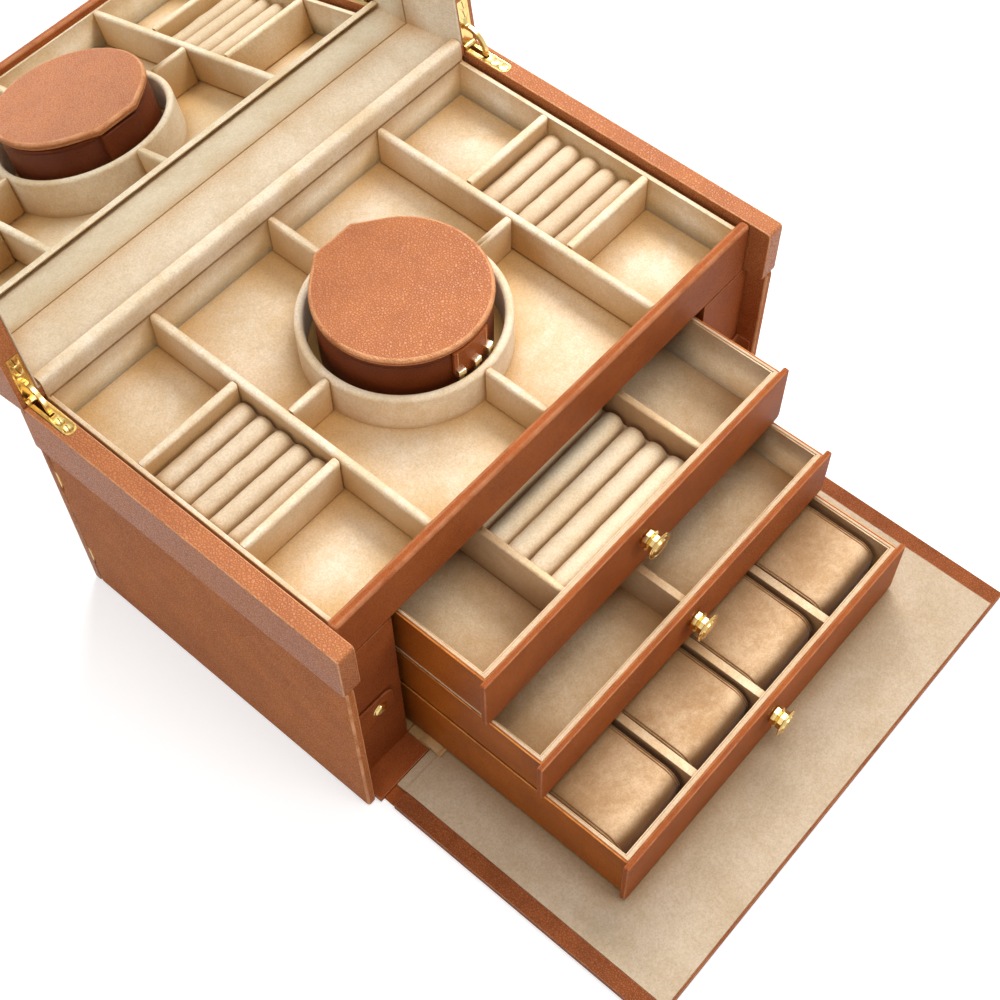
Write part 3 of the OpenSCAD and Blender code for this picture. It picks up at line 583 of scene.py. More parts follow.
# The suede painted darker on the cushions, as painted shade, with strong painted shade towards their edges
CUSHION_SUEDE_PAINTED_DARKER = suede(
    "cushion_suede_painted_darker", (0.77, 0.54, 0.33), (0.55, 0.33, 0.165), (0.22, 0.1, 0.03), reach=0.045)
# The suede painted lighter inside the drawers, where little light reaches, with strong painted shade along their
# walls and corners
DRAWER_SUEDE_PAINTED_LIT_AND_SHADED = suede("drawer_suede_painted_lit_and_shaded", (0.95, 0.75, 0.5), (0.8, 0.55, 0.31), (0.34, 0.16, 0.05), reach=0.042)
PALE_SUEDE = suede("band_suede", (0.74, 0.56, 0.38), (0.64, 0.44, 0.27), (0.66, 0.42, 0.24), reach=0.004)
# Dark suede for the cushions' piping, and for a tube painted as the shadow of the tray's crease
SEAM_AND_CREASE_SHADOW = suede("seam_and_crease_shadow_suede", (0.34, 0.17, 0.07), (0.2, 0.09, 0.03), (0.12, 0.05, 0.02), reach=0.004)
FELT = suede("base_felt", (0.16, 0.09, 0.05), (0.1, 0.055, 0.03), (0.08, 0.04, 0.02), sheen=0.1)
BRASS = metal("polished_brass", (0.8, 0.58, 0.23), 0.12)
# Brass painted paler for the claws, to stand in for the light they catch
CLAW_BRASS_PAINTED_LIGHTER = metal("claw_brass_painted_lighter", (1.0, 0.88, 0.62), 0.22)
PLATE_BRASS = metal("satin_brass", (0.62, 0.42, 0.14), 0.24)
# Dark brass for bars on the screw heads, painted as the shadow of their slots
SLOT_SHADOW_BRASS = metal("slot_shadow_brass", (0.25, 0.17, 0.06), 0.35)
STITCH = thread("tan_thread", (0.85, 0.42, 0.17))
MIRROR = silvered("mirror_silver")


# --- what repeats ---


def repeat_tree():
    """Copies of one piece on the points of a line, each turned a little by chance"""
    tree, given, out = new_group("repeat_on_line", "Geometry", {
        "Geometry": "Geometry", "Piece": "Object", "Count": "Int", "Start": "Vector",
        "Step": "Vector", "Turn": "Vector", "Material": "Material",
    }, {"Geometry": "Geometry"})
    line = put(tree, "GeometryNodeMeshLine", {
        "Count": given["Count"], "Start Location": given["Start"], "Offset": given["Step"]})
    back = put(tree, "ShaderNodeVectorMath", {0: given["Turn"], 1: (-1.0,) * 3}, operation="MULTIPLY")
    chance = put(tree, "FunctionNodeRandomValue", {
        "Min": back.outputs[0], "Max": given["Turn"], "Seed": 7}, data_type="FLOAT_VECTOR")
    set_out(tree, given, line.outputs[0], chance.outputs["Value"], out)
    return tree


def stitch_tree():
    """Stitches of one shape along a drawn line"""
    tree, given, out = new_group("stitches_on_path", "Geometry", {
        "Geometry": "Geometry", "Piece": "Object", "Pitch": "Float", "Material": "Material",
    }, {"Geometry": "Geometry"})
    path = put(tree, "GeometryNodeMeshToCurve", {0: given["Geometry"]})
    even = put(tree, "GeometryNodeResampleCurve", {"Curve": path.outputs[0], "Length": given["Pitch"]},
               mode="LENGTH")
    along = put(tree, "GeometryNodeInputTangent").outputs[0]
    aim = put(tree, "FunctionNodeAlignRotationToVector", {"Vector": along}, axis="X")
    set_out(tree, given, even.outputs[0], aim.outputs[0], out)
    return tree


def set_out(tree, given, points, turn, out):
    """Puts the piece on points, makes the copies real and gives them their material"""
    piece = put(tree, "GeometryNodeObjectInfo", {"Object": given["Piece"]}).outputs["Geometry"]
    copies = put(tree, "GeometryNodeInstanceOnPoints", {
        "Points": points, "Instance": piece, "Rotation": turn})
    real = put(tree, "GeometryNodeRealizeInstances", {0: copies.outputs[0]})
    painted = put(tree, "GeometryNodeSetMaterial", {
        "Geometry": real.outputs[0], "Material": given["Material"]})
    give(tree, out[0], painted.outputs[0])


REPEAT = repeat_tree()
STITCHES = stitch_tree()


def baked(name, base, tree, values, smooth=40):
    """Runs a tree on a base bmesh and keeps the result as a plain object at the origin"""
    source = placed(name + "_source", mesh_of(base, name + "_base"))
    modifier = source.modifiers.new("nodes", "NODES")
    modifier.node_group = tree
    sockets = {i.name: i.identifier for i in tree.interface.items_tree
               if i.item_type == "SOCKET" and i.in_out == "INPUT"}
    for key, value in values.items():
        modifier[sockets[key]] = value
    mesh = plain_mesh(source)
    bpy.data.objects.remove(source)
    mesh.name = name
    for polygon in mesh.polygons:
        polygon.material_index = 0
    return placed(name, shaded(mesh, values["Material"], smooth))


def repeated(name, piece_bm, count, start, step, material, turn=(0.0, 0.0, 0.0), smooth=40):
    """Copies of a small bmesh in a row"""
    one = placed(name + "_one", mesh_of(piece_bm, name + "_one"))
    obj = baked(name, bmesh.new(), REPEAT, {
        "Piece": one, "Count": count, "Start": tuple(start), "Step": tuple(step), "Turn": turn,
        "Material": material}, smooth)
    bpy.data.objects.remove(one)
    return obj


def joined(name, objects):
    """Several plain objects of one material as one"""
    bm = bmesh.new()
    material = objects[0].data.materials[0]
    for obj in objects:
        bm.from_mesh(obj.data)
        bpy.data.objects.remove(obj)
    return placed(name, shaded(mesh_of(bm, name), material, 0))


# --- camera, light and stage ---

# Angles in degrees, place in millimetres, focal length in parts of the picture's width
CAMERA_PLACE = (-407.1, -429.1, 933.0)
CAMERA_TURN, CAMERA_HEIGHT, CAMERA_ROLL = -48.02, 58.01, -1.27
FOCAL_LENGTH, SENSOR = 1.6683, 36.0


def make_camera():
    """A view from above, in front and to the left"""
    turn, height, roll = map(math.radians, (CAMERA_TURN, CAMERA_HEIGHT, CAMERA_ROLL))
    flat = math.cos(height)
    back = Vector((math.sin(turn) * flat, -math.cos(turn) * flat, math.sin(height)))
    level = Vector((math.cos(turn), math.sin(turn), 0.0))
    up = back.cross(level)
    right = math.cos(roll) * level + math.sin(roll) * up
    above = -math.sin(roll) * level + math.cos(roll) * up
    camera = placed("camera", bpy.data.cameras.new("camera"))
    camera.data.sensor_width = SENSOR
    camera.data.lens = SENSOR * FOCAL_LENGTH
    camera.data.clip_start = 0.05
    place = Matrix((right, above, back)).transposed().to_4x4()
    place.translation = Vector(CAMERA_PLACE) * MM
    camera.matrix_world = place
    bpy.context.scene.camera = camera


# Name, place, what it looks at, size in metres, watts
LAMPS = (
    ("key", (1.05, 0.1, 1.6), (0, 0.05, 0.15), (0.8, 0.7), 19.0),
    ("rim", (0.95, 0.85, 1.7), (0, 0, 0.2), (0.6, 0.5), 21.0),
    ("top", (-0.1, -0.35, 1.9), (0, 0, 0.1), (0.9, 0.9), 14.0),
    ("front", (0.4, -1.8, 1.1), (0, 0, 0.15), (1.0, 0.8), 12.0),
    ("left", (-1.7, -0.2, 0.8), (0, 0, 0.1), (0.9, 0.9), 7.5),
)
# World strength at the level of the floor, and what it gains towards the top
WORLD_LOW, WORLD_RISE = 0.05, 0.3
FLOOR_GREY, FLOOR_GLOW = 0.6, 0.55


def area_light(name, place, target, size, watts):
    light = bpy.data.lights.new(name, "AREA")
    light.shape = "RECTANGLE"
    light.size, light.size_y = size
    light.energy = watts
    obj = placed(name, light)
    obj.location = place
    obj.rotation_euler = (Vector(target) - Vector(place)).to_track_quat("-Z", "Y").to_euler()


def seen_plainly(tree):
    """One for rays from the camera and for rays in metal and glass, else nought"""
    rays = put(tree, "ShaderNodeLightPath").outputs
    mirrored = math_node(tree, "MAXIMUM", rays["Is Glossy Ray"], rays["Is Transmission Ray"])
    return math_node(tree, "MAXIMUM", rays["Is Camera Ray"], mirrored)


def make_light():
    for lamp in LAMPS:
        area_light(*lamp)
    world = bpy.data.worlds.new("studio")
    bpy.context.scene.world = world
    world.use_nodes = True
    tree = world.node_tree
    plain = tree.nodes["Background"]
    rise = put(tree, "ShaderNodeSeparateXYZ", {0: own_place(tree, "Generated")}).outputs["Z"]
    give(tree, plain.inputs["Color"], (1.0, 0.985, 0.96, 1.0))
    give(tree, plain.inputs["Strength"],
         times(tree, ramp(tree, rise, 0.1, 0.9), WORLD_RISE, WORLD_LOW))
    white = put(tree, "ShaderNodeBackground", {"Strength": 1.0, "Color": (1, 1, 1, 1)})
    chosen = put(tree, "ShaderNodeMixShader", {
        0: seen_plainly(tree), 1: plain.outputs[0], 2: white.outputs[0]})
    give(tree, tree.nodes["World Output"].inputs["Surface"], chosen.outputs[0])


def make_floor():
    bm = bmesh.new()
    bmesh.ops.create_grid(bm, x_segments=1, y_segments=1, size=6.0)
    bmesh.ops.translate(bm, verts=bm.verts, vec=(0, 0, -0.2 * MM))
    material, tree = new_material("pale_floor")
    finish(material, Base_Color=(FLOOR_GREY,) * 3 + (1.0,), Roughness=0.9,
           Emission_Color=(1.0, 1.0, 1.0, 1.0),
           Emission_Strength=times(tree, seen_plainly(tree), FLOOR_GLOW))
    piece_from(bm, "floor", material, smooth=0)


# --- case ---

# Millimetres: the collar's step, before and below the lid's pin, and the hinge plate on top
NOTCH_AHEAD, NOTCH_DOWN = 1.0, 5.2
PLATE_PROUD, PLATE_SKIN, PLATE_END = 0.12, 0.8, 4.4
KNUCKLE_ROOM = 2.4
COLLAR_ROUND, DOOR_ROUND = 3.1, 2.6
# Millimetres of leather left outside a hinge knuckle, and of open edge where the door swings
KNUCKLE_SKIN, REAR_NOTCH = 0.35, 7.5


def grown(box, below, above):
    """A box with room in mm added below its low corner and above its high corner"""
    return box[0] - Vector(below) * MM, box[1] + Vector(above) * MM


def arm_slot(side):
    """Room in a collar for the curved arm of the lid's hinge, from the arm drawn shut"""
    shut = node_bmesh("lid_arms")
    shut.transform(Matrix.Translation(LID_PIN) @ CLOSED)
    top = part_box("hinge_plates")[0][2] - 0.1 * MM
    deep = box_of(v.co for v in shut.verts if (v.co.x < 0) == (side == "left") and v.co.z < top)
    shut.free()
    return grown(deep, (0.4, 0.6, 0.6), (0.4, 0.6, 4.0))


def make_plates():
    """Brass plates let into the collars, round in front, with a slot for the arm"""
    flats = []
    for side, (low, high) in zip(SIDES, solids_of("hinge_plates")):
        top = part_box("collar_" + side)[1][2] + PLATE_PROUD * MM
        outline = rounded_outline(rectangle(low.x, low.y, high.x, LID_PIN.y - KNUCKLE_ROOM * MM),
                                  [PLATE_END, PLATE_END, 0.2, 0.2], 8)
        flat = slab(outline, "Z", top - PLATE_SKIN * MM, top, 0.2, segments=2)
        flats.append(carve(piece_from(flat, "flat", PLATE_BRASS), [arm_slot(side)]))
    knuckles = piece_from(node_bmesh("hinge_plates"), "knuckles", PLATE_BRASS)
    declared(joined("hinge_plates_brass", flats + [knuckles]), "case", ["hinge_plates"])


def make_collar(side):
    """Leather block at the top of a side, stepped down at the back for the lid's rear wall"""
    node = "collar_" + side
    lo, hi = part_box(node)
    step_y = LID_PIN.y - NOTCH_AHEAD * MM
    step_z = LID_PIN.z - NOTCH_DOWN * MM
    corners = [(lo[1], lo[2]), (hi[1], lo[2]), (hi[1], step_z), (step_y, step_z), (step_y, hi[2]),
               (lo[1], hi[2])]
    outline = rounded_outline(corners, [3.2, 1.5, 1.0, 0, 1.2, 3.2])
    bm = slab(outline, "X", lo[0], hi[0], COLLAR_ROUND, segments=5)
    collar = piece_from(bm, node + "_leather", PEBBLED, "case", [node], 60)
    carve(collar, [grown(plate, (0.2, 0.2, 0.2), (0.2, 6, 5)) for plate in solids_of("hinge_plates", side)],
          4.0)
    weighted_normals(carve(collar, [arm_slot(side)]))


def make_door(side):
    """Padded leather door, hollowed inside its back edge for the hinge knuckles"""
    node = "side_door_" + side
    lo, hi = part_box(node)
    outline = rounded_outline(rectangle(lo[1], lo[2], hi[1], hi[2]), [2.2, 2.0, 2.0, 2.2])
    bm = slab(outline, "X", lo[0], hi[0], DOOR_ROUND, segments=5)
    door = piece_from(bm, node + "_leather", DOOR_LEATHER_PAINTED_LIGHTER, side + "_door", [node], 60)
    hollows, swings = [], []
    for box in solids_of("door_hinges", side):
        low, high = grown(box, (0.4, 2.8, 0.5), (0.1, 4, 0.5))
        if side == "left":
            low.x, high.x = lo[0] + KNUCKLE_SKIN * MM, high.x + 4 * MM
        else:
            low.x, high.x = low.x - 4 * MM, hi[0] - KNUCKLE_SKIN * MM
        hollows.append((low, high))
        swings.append(((lo[0] - MM, high.y - REAR_NOTCH * MM, low.z), (hi[0] + MM, high.y + MM, high.z)))
    carve(door, hollows)
    weighted_normals(carve(door, swings))


def make_stud(side):
    """Domed press-stud cap with a bead round its foot"""
    node = "tab_stud_" + side
    lo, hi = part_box(node)
    r = (hi[0] - lo[0]) / 2 / MM
    high = (hi[1] - lo[1]) / MM
    dome = ((1, 3.0), (1, 2.2), (0.92, 1.9), (0.86, 1.8), (0.8, 1.2), (0.62, 0.6), (0.35, 0.15), (0, 0))
    bm = lathe([(0, 0.3), (r * 0.9, 0.3)] + [(r * share, high - down) for share, down in dome], 48)
    facing_front(bm, ((lo[0] + hi[0]) / 2, hi[1], (lo[2] + hi[2]) / 2))
    piece_from(bm, node + "_cap", BRASS, side + "_door", [node], 30)


def points_in(middle_y, middle_z, offsets):
    """Points of a section, from offsets in mm"""
    return [(middle_y + y * MM, middle_z + z * MM) for y, z in offsets]


def make_hinge_suede():
    """Suede band and leather strip over the soft hinge of the fall-front"""
    ledge_lo, ledge_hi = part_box("ledge_lining")
    panel_lo, panel_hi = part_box("fall_front_panel")
    top, front, rear = ledge_hi[2], ledge_lo[1], panel_hi[1]
    crown = points_in(front, top, [(7.5, 0.25), (6.8, 0.9), (3.0, 1.3), (-2.2, 1.0), (-5.2, 0.2),
                                   (-6.2, -0.75), (-7.2, 0.15)])
    crown += points_in(rear, top, [(-1.0, 0.45)])
    bm = sheet_strip(crown, ledge_lo[0] + 0.2 * MM, ledge_hi[0] - 0.2 * MM, 1.1 * MM, steps=90)
    band = piece_from(bm, "hinge_band", SUEDE)
    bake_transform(band)
    under = points_in(front, 0, [(3, 1.9), (-0.5, 1.9), (-4, 1.5)])
    under += points_in(rear, 0, [(0.5, 1.5), (-2, 1.5)])
    bm = sheet_strip(under, panel_lo[0] + 0.6 * MM, panel_hi[0] - 0.6 * MM, 1.0 * MM, steps=60)
    strip = piece_from(bm, "hinge_leather", SMOOTH)
    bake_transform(strip)


def dress_case():
    for side in SIDES:
        make_collar(side)
        make_door(side)
        make_stud(side)
        soften("door_tab_" + side, 0.45, SMOOTH, least=0.5, segments=2)
        soften("side_lining_" + side, 0.3, SUEDE)
    for node, radius, material, least in (
        ("front_rail", 2.6, SMOOTH, 6), ("base_board", 0.9, SMOOTH, 10), ("back_panel", 1.2, PEBBLED, 10),
        ("fascia_strips", 0.5, SMOOTH, 20), ("cabinet_walls", 0.4, DARK, 20), ("top_deck", 0.4, DARK, 20),
        ("felt_pad", 0.4, FELT, 20), ("ledge_lining", 0.3, SUEDE, 10), ("drawer_runners", 0.3, SUEDE, 20),
    ):
        soften(node, radius, material, least)
    make_hinge_suede()


# --- soft rolls and cushions ---

TRAY_ROLLS, DRAWER_ROLLS = 5, 13
# Share of the pitch that a roll takes
ROLL_SHARE = 0.985
# Millimetres: how far the stuffing pushes the rolls out, over what length, and the cushions' form
RUFFLE, RUFFLE_SIZE = 0.35, 9
CUSHION_ROUND, CROWN = 11.5, 1.5


def soft_roll(radius, length):
    """One stuffed roll along X, closed by a gathered dome at each end"""
    rings, sides = 44, 22
    bm = bmesh.new()
    rows = []
    dome = 0.55 * radius
    for i in range(rings + 1):
        x = -length / 2 + length * i / rings
        share = min(1.0, max(0.0, length / 2 - abs(x)) / dome)
        r = radius * (0.35 + 0.65 * math.sqrt(max(0.0, 1 - (1 - share) ** 2)))
        r *= 1 - 0.02 * math.sin(x / length * 9) ** 2
        rows.append([bm.verts.new((x, r * c, r * s)) for c, s in circle(sides)])
    return skin(bm, rows, capped=True)


def roll_bed(name, box, count, material, body, replaces=()):
    """A row of rolls on its pad, in a box"""
    low, high = box
    pitch = (high.y - low.y) / count
    r = pitch / 2 * ROLL_SHARE
    pad = piece_from(rounded_bar(low, (high.x, high.y, high.z - r * 1.15), 0.6), name + "_pad", material)
    start = ((low.x + high.x) / 2, low.y + pitch / 2, high.z - r)
    rolls = repeated(name + "_rolls", soft_roll(r, high.x - low.x - 0.4 * MM), count, start,
                     (0, pitch, 0), material, turn=(0.5, 0.008, 0.008), smooth=80)
    bm = bmesh.new()
    bm.from_mesh(rolls.data)
    bm.normal_update()
    for vert in bm.verts:
        vert.co += vert.normal * RUFFLE * MM * noise.noise(vert.co / (RUFFLE_SIZE * MM))
    bm.to_mesh(rolls.data)
    bm.free()
    declared(joined(name, [pad, rolls]), body, replaces)


def cushion_profile(y0, y1, z0, z1, radius, n=9):
    """Rounded rectangle in the YZ plane, its points at most about 3 mm apart"""
    points = []
    for cy, cz, a0 in ((y1 - radius, z1 - radius, 0), (y0 + radius, z1 - radius, 90),
                       (y0 + radius, z0 + radius, 180), (y1 - radius, z0 + radius, 270)):
        points += arc(cy, cz, radius, a0, a0 + 90, n)
    dense = []
    for a, b in zip(points, points[1:] + points[:1]):
        steps = max(1, int(math.dist(a, b) / (3 * MM)))
        dense += [(a[0] + (b[0] - a[0]) * k / steps, a[1] + (b[1] - a[1]) * k / steps)
                  for k in range(steps)]
    return dense


def soft_cushion(low, high):
    """Stuffed block along X with flat ends, and the piping round both ends"""
    bm = bmesh.new()
    section = cushion_profile(low.y + CROWN * MM, high.y - CROWN * MM, low.z, high.z - CROWN * MM,
                              CUSHION_ROUND * MM)
    middle, size = (low + high) / 2, high - low
    across = 30
    rows = []
    for i in range(across + 1):
        t = -1 + 2 * i / across
        x = middle.x + t * size.x / 2
        swell = CROWN * MM * (1 - abs(t) ** 3.5)
        row = []
        for y, z in section:
            here = Vector((x, y, z))
            out = Vector((0, (y - middle.y) / size.y, (z - middle.z) / size.z)).normalized()
            push = swell + 0.45 * MM * noise.noise(here / (13 * MM)) * (1 - abs(t) ** 6)
            row.append(bm.verts.new(here + out * push))
        rows.append(row)
    skin(bm, rows, capped=True)
    split_large(bm)
    pipes = []
    for inset, grow in ((0.3 * MM, 0.25 * MM), (1.9 * MM, 0.35 * MM)):
        for x in (low.x + inset, high.x - inset):
            ring = [(x, y + (y - middle.y) / size.y * grow, z + (z - middle.z) / size.z * grow)
                    for y, z in section]
            pipes.append(tube(ring, 0.5 * MM, sides=6, closed=True))
    return bm, merge(*pipes)


def make_cushions():
    """Watch cushions, and the darker piping round their ends"""
    blocks, pipes = zip(*[soft_cushion(*box) for box in solids_of("watch_cushions")])
    cushions = piece_from(merge(*blocks), "cushions", CUSHION_SUEDE_PAINTED_DARKER, "lower_drawer", ["watch_cushions"],
                          50)
    piping = piece_from(merge(*pipes), "cushion_piping", SEAM_AND_CREASE_SHADOW, "lower_drawer", smooth=80)


# --- tray and travel case ---

TRAVEL_CENTRE = sum((Vector(corner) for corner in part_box("ring_well")), Vector()) / 2
ON_AXIS = (TRAVEL_CENTRE.x, TRAVEL_CENTRE.y, 0)
# Millimetres: half the hinge flap, walls of the well and the base, and the closing tab
FLAP_HALF = 15.0
WELL_WALL, BASE_WALL = 5.5, 2.4
TAB_ROUND, TAB_SEAM, TAB_THICK = 5.0, 2.2, 1.9
TAB_STEPS = 24
STITCH_PITCH = 2.1


def make_well():
    """Round well with a softly rolled rim"""
    lo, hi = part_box("ring_well")
    outer, base, top = (hi[0] - lo[0]) / 2 / MM, lo[2] / MM, hi[2] / MM
    half = WELL_WALL / 2
    profile = [(outer, base)] + arc(outer - half, top - half, half, 0, 180, 8)
    profile += [(outer - WELL_WALL, base), (outer, base)]
    bm = lathe(profile, 128, ON_AXIS, capped=False)
    bmesh.ops.remove_doubles(bm, verts=bm.verts, dist=1e-6)
    piece_from(outward(bm), "well_ring", WELL_SUEDE_PAINTED_LIGHTER, "case", ["ring_well"], 60)


def dress_tray():
    soften("tray_shell", 1.1, SUEDE)
    soften("long_dividers", 2.6, SUEDE)
    soften("cross_dividers", 2.6, SUEDE, least=15)
    make_well()
    for side, box in zip(SIDES, solids_of("tray_rolls")):
        stands_for = ["tray_rolls"] if side == "left" else []
        roll_bed("tray_rolls_" + side, box, TRAY_ROLLS, TRAY_ROLL_SUEDE_PAINTED_DARKER, "case", stands_for)


def make_travel_lid():
    """Round padded lid with its hinge flap at the back"""
    lo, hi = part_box("travel_lid")
    r = (hi[0] - lo[0]) / 2
    points = [Vector((TRAVEL_CENTRE.x + r * c, TRAVEL_CENTRE.y + r * s)) for c, s in circle(120)]
    points += [Vector((x * MM, hi[1])) for x in (-FLAP_HALF, FLAP_HALF)]
    hull = [tuple(points[i]) for i in geometry.convex_hull_2d(points)]
    bm = slab(hull, "Z", lo[2] + 0.3 * MM, hi[2], 2.4, segments=6)
    weighted_normals(piece_from(bm, "round_lid", PEBBLED, "travel_cover", ["travel_lid"], 60))


def make_travel_base():
    """Round base with a beaded top edge"""
    lo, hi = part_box("travel_base")
    r, z0, z1 = (hi[0] - lo[0]) / 2 / MM, lo[2] / MM, hi[2] / MM
    profile = [(0, z0), (r - 1.5, z0), (r - 0.4, z0 + 0.4), (r, z0 + 1.5), (r, z1 - 3.4),
               (r - 0.35, z1 - 3.0), (r, z1 - 2.6)] + arc(r - 1.2, z1 - 1.2, 1.2, 0, 90, 4)
    profile += [(r - BASE_WALL + 0.6, z1), (r - BASE_WALL, z1 - 0.6), (r - BASE_WALL, z0 + BASE_WALL),
                (0, z0 + BASE_WALL)]
    flap = rounded_bar((-FLAP_HALF * MM, TRAVEL_CENTRE.y + (r - 2) * MM, hi[2] - 20 * MM),
                       (FLAP_HALF * MM, hi[1], hi[2]), 0.8)
    piece_from(merge(lathe(profile, 120, ON_AXIS), flap), "round_base", GLOSS, "travel_case",
               ["travel_base"], 50)


def on_barrel(x, z, r):
    """A point of a flat drawing wrapped onto the front of the travel case; x, z and r in mm"""
    a = x / r
    return (TRAVEL_CENTRE.x + r * MM * math.sin(a), TRAVEL_CENTRE.y - r * MM * math.cos(a), z * MM)


def make_travel_tab():
    """Stitched closing tab bent round the front of the base"""
    lo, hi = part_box("travel_tab")
    r = (TRAVEL_CENTRE.y - lo[1]) / MM + 0.5
    half = (hi[0] - lo[0]) / 2 / MM
    z0, z1 = lo[2] / MM, hi[2] / MM
    bm = bmesh.new()
    rows = []
    for i in range(TAB_STEPS + 1):
        z = z0 + (z1 - z0) * i / TAB_STEPS
        near = min(z - z0, TAB_ROUND)
        inset = TAB_ROUND - math.sqrt(max(0.0, TAB_ROUND ** 2 - (TAB_ROUND - near) ** 2))
        w = half - inset * 0.6
        rows.append([bm.verts.new(on_barrel(-w + 2 * w * k / TAB_STEPS, z, r))
                     for k in range(TAB_STEPS + 1)])
    skin(bm, rows, ring=False)
    faces_front = sum(f.normal.y for f in bm.faces) < 0
    thickened(bm, TAB_THICK * MM if faces_front else -TAB_THICK * MM)
    piece_from(bm, "closing_tab", SMOOTH, "travel_cover", ["travel_tab"], 50)
    stitch = tube([(x * MM, 0, 0) for x in (-0.75, -0.4, 0.4, 0.75)], 0.28 * MM, sides=6)
    one = piece_from(stitch, "stitch_one", STITCH)
    seams = []
    for side in (-1, 1):
        path = bmesh.new()
        line = [path.verts.new(on_barrel(side * (half - TAB_SEAM), z0 + 3 + (z1 - z0 - 4) * k / 12, r + 0.12))
                for k in range(13)]
        for ends in zip(line, line[1:]):
            path.edges.new(ends)
        seams.append(baked("tab_seam", path, STITCHES, {
            "Piece": one, "Pitch": STITCH_PITCH * MM, "Material": STITCH}))
    bpy.data.objects.remove(one)
    declared(joined("tab_stitches", seams), "travel_cover")


def make_claws():
    """Three small brass claws holding the tab's lower edge"""
    claws = []
    for low, high in solids_of("travel_clasp"):
        out = (low + high) / 2 - TRAVEL_CENTRE
        claw = merge(*[
            rounded_bar((-half * MM, -front * MM, z0), (half * MM, back * MM, z1), radius)
            for half, front, back, z0, z1, radius in (
                (1.5, 2.6, 1.0, low.z - 0.3 * MM, high.z + 0.8 * MM, 0.25),
                (2.6, 3.4, 0.6, high.z - 1.4 * MM, high.z + 3.0 * MM, 0.4))
        ])
        turned = Matrix.Rotation(math.atan2(out.x, -out.y), 4, "Z")
        reach = Matrix.Translation((0, -math.hypot(out.x, out.y), 0))
        claw.transform(Matrix.Translation(ON_AXIS) @ turned @ reach)
        claws.append(claw)
    piece_from(merge(*claws), "claws", CLAW_BRASS_PAINTED_LIGHTER, "travel_cover", ["travel_clasp"], 40)


# --- lid and fall-front ---

MIRROR_BEVEL, BEVEL_DEPTH = 7.0, 0.16


def make_mirror():
    """Silvered glass with a wide shallow bevel, drawn closed and turned with the lid"""
    (x0, y0, z0), (x1, y1, z1) = box_of(CLOSED @ v.co for v in NODES["mirror"].data.vertices)
    e = MIRROR_BEVEL * MM
    bm = bmesh.new()
    rows = [[bm.verts.new((x, y, z)) for x, y in corners] for corners, z in (
        (rectangle(x0, y0, x1, y1), z1), (rectangle(x0, y0, x1, y1), z0 + BEVEL_DEPTH * MM),
        (rectangle(x0 + e, y0 + e, x1 - e, y1 - e), z0))]
    skin(bm, rows, capped=True)
    bm.transform(OPENED)
    piece_from(bm, "mirror_glass", MIRROR, "lid", ["mirror"], 0)


def make_lid_gusset():
    """Suede flap from the tray's back wall to the lid's lining, and a dark tube under it as the painted shadow of
    its crease
    """
    lo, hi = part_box("tray_shell")
    section = points_in(hi[1], hi[2], [(-2.9, -0.3), (-2.8, 1), (-2.7, 5), (-2.4, 9), (-1.8, 12),
                                       (-0.6, 13.3), (1.5, 13.8), (5, 13.4)])
    flap = piece_from(sheet_strip(section, -hi[0], hi[0], 0.9 * MM, steps=70), "lid_gusset", SUEDE,
                      smooth=80)
    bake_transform(flap)
    # A dark tube along the back rim: the painted shadow of the crease
    line = [(lo[0] + (hi[0] - lo[0]) * (0.004 + 0.992 * k / 60), hi[1] - 3.25 * MM, hi[2] + 0.15 * MM)
            for k in range(61)]
    piece_from(tube(line, 0.4 * MM), "tray_seam", SEAM_AND_CREASE_SHADOW, "case", smooth=80)


def dress_lid():
    soften("lid_board", 2.4, PEBBLED)
    soften("lid_frame", 1.6, PEBBLED, least=30)
    soften("lid_lining", 0.6, LID_LINING_SUEDE_PAINTED_DARKER)
    soften("fall_front_panel", 1.5, EDGE_LEATHER, least=3)
    make_mirror()
    make_lid_gusset()


def make_screws(node, body):
    """Screws, a pair on each hinge, each head with a dark bar as the painted shadow of its slot; those of the lid
    are set out with it shut
    """
    on_lid = node == "leaf_screws"
    turned = OPENED if on_lid else Matrix.Identity(4)
    boxes = solids_of(node)
    spots = sorted((turned.inverted() @ ((a + b) / 2) for a, b in boxes), key=lambda v: (v.x > 0, v.y))
    r = (boxes[0][1].x - boxes[0][0].x) / 2 / MM
    heads, slot_shadows = [], []
    for first, second in (spots[:2], spots[2:]):
        first.z = second.z = 0.0 if on_lid else boxes[0][1].z + PLATE_PROUD * MM
        head = lathe([(0, -3), (1.2, -3), (1.2, -1.2), (r, -0.15), (r, 0.0), (r * 0.75, 0.1), (0, 0.14)], 32)
        # A dark bar across the head, not cut in: the painted shadow of the slot
        cut = rounded_bar((-r * 0.95 * MM, -0.36 * MM, 0.02 * MM), (r * 0.95 * MM, 0.36 * MM, 0.16 * MM), 0)
        for kind, bm, material in ((heads, head, BRASS), (slot_shadows, cut, SLOT_SHADOW_BRASS)):
            if on_lid:
                bm.transform(Matrix.Rotation(math.pi, 4, "X"))
            kind.append(repeated(node, bm, 2, first, second - first, material, turn=(0, 0, 3.0), smooth=30))
    for name, kind, stands_for in (("_heads", heads, [node]), ("_slots", slot_shadows, [])):
        row = joined(node + name, kind)
        row.data.transform(turned)
        declared(row, body, stands_for)


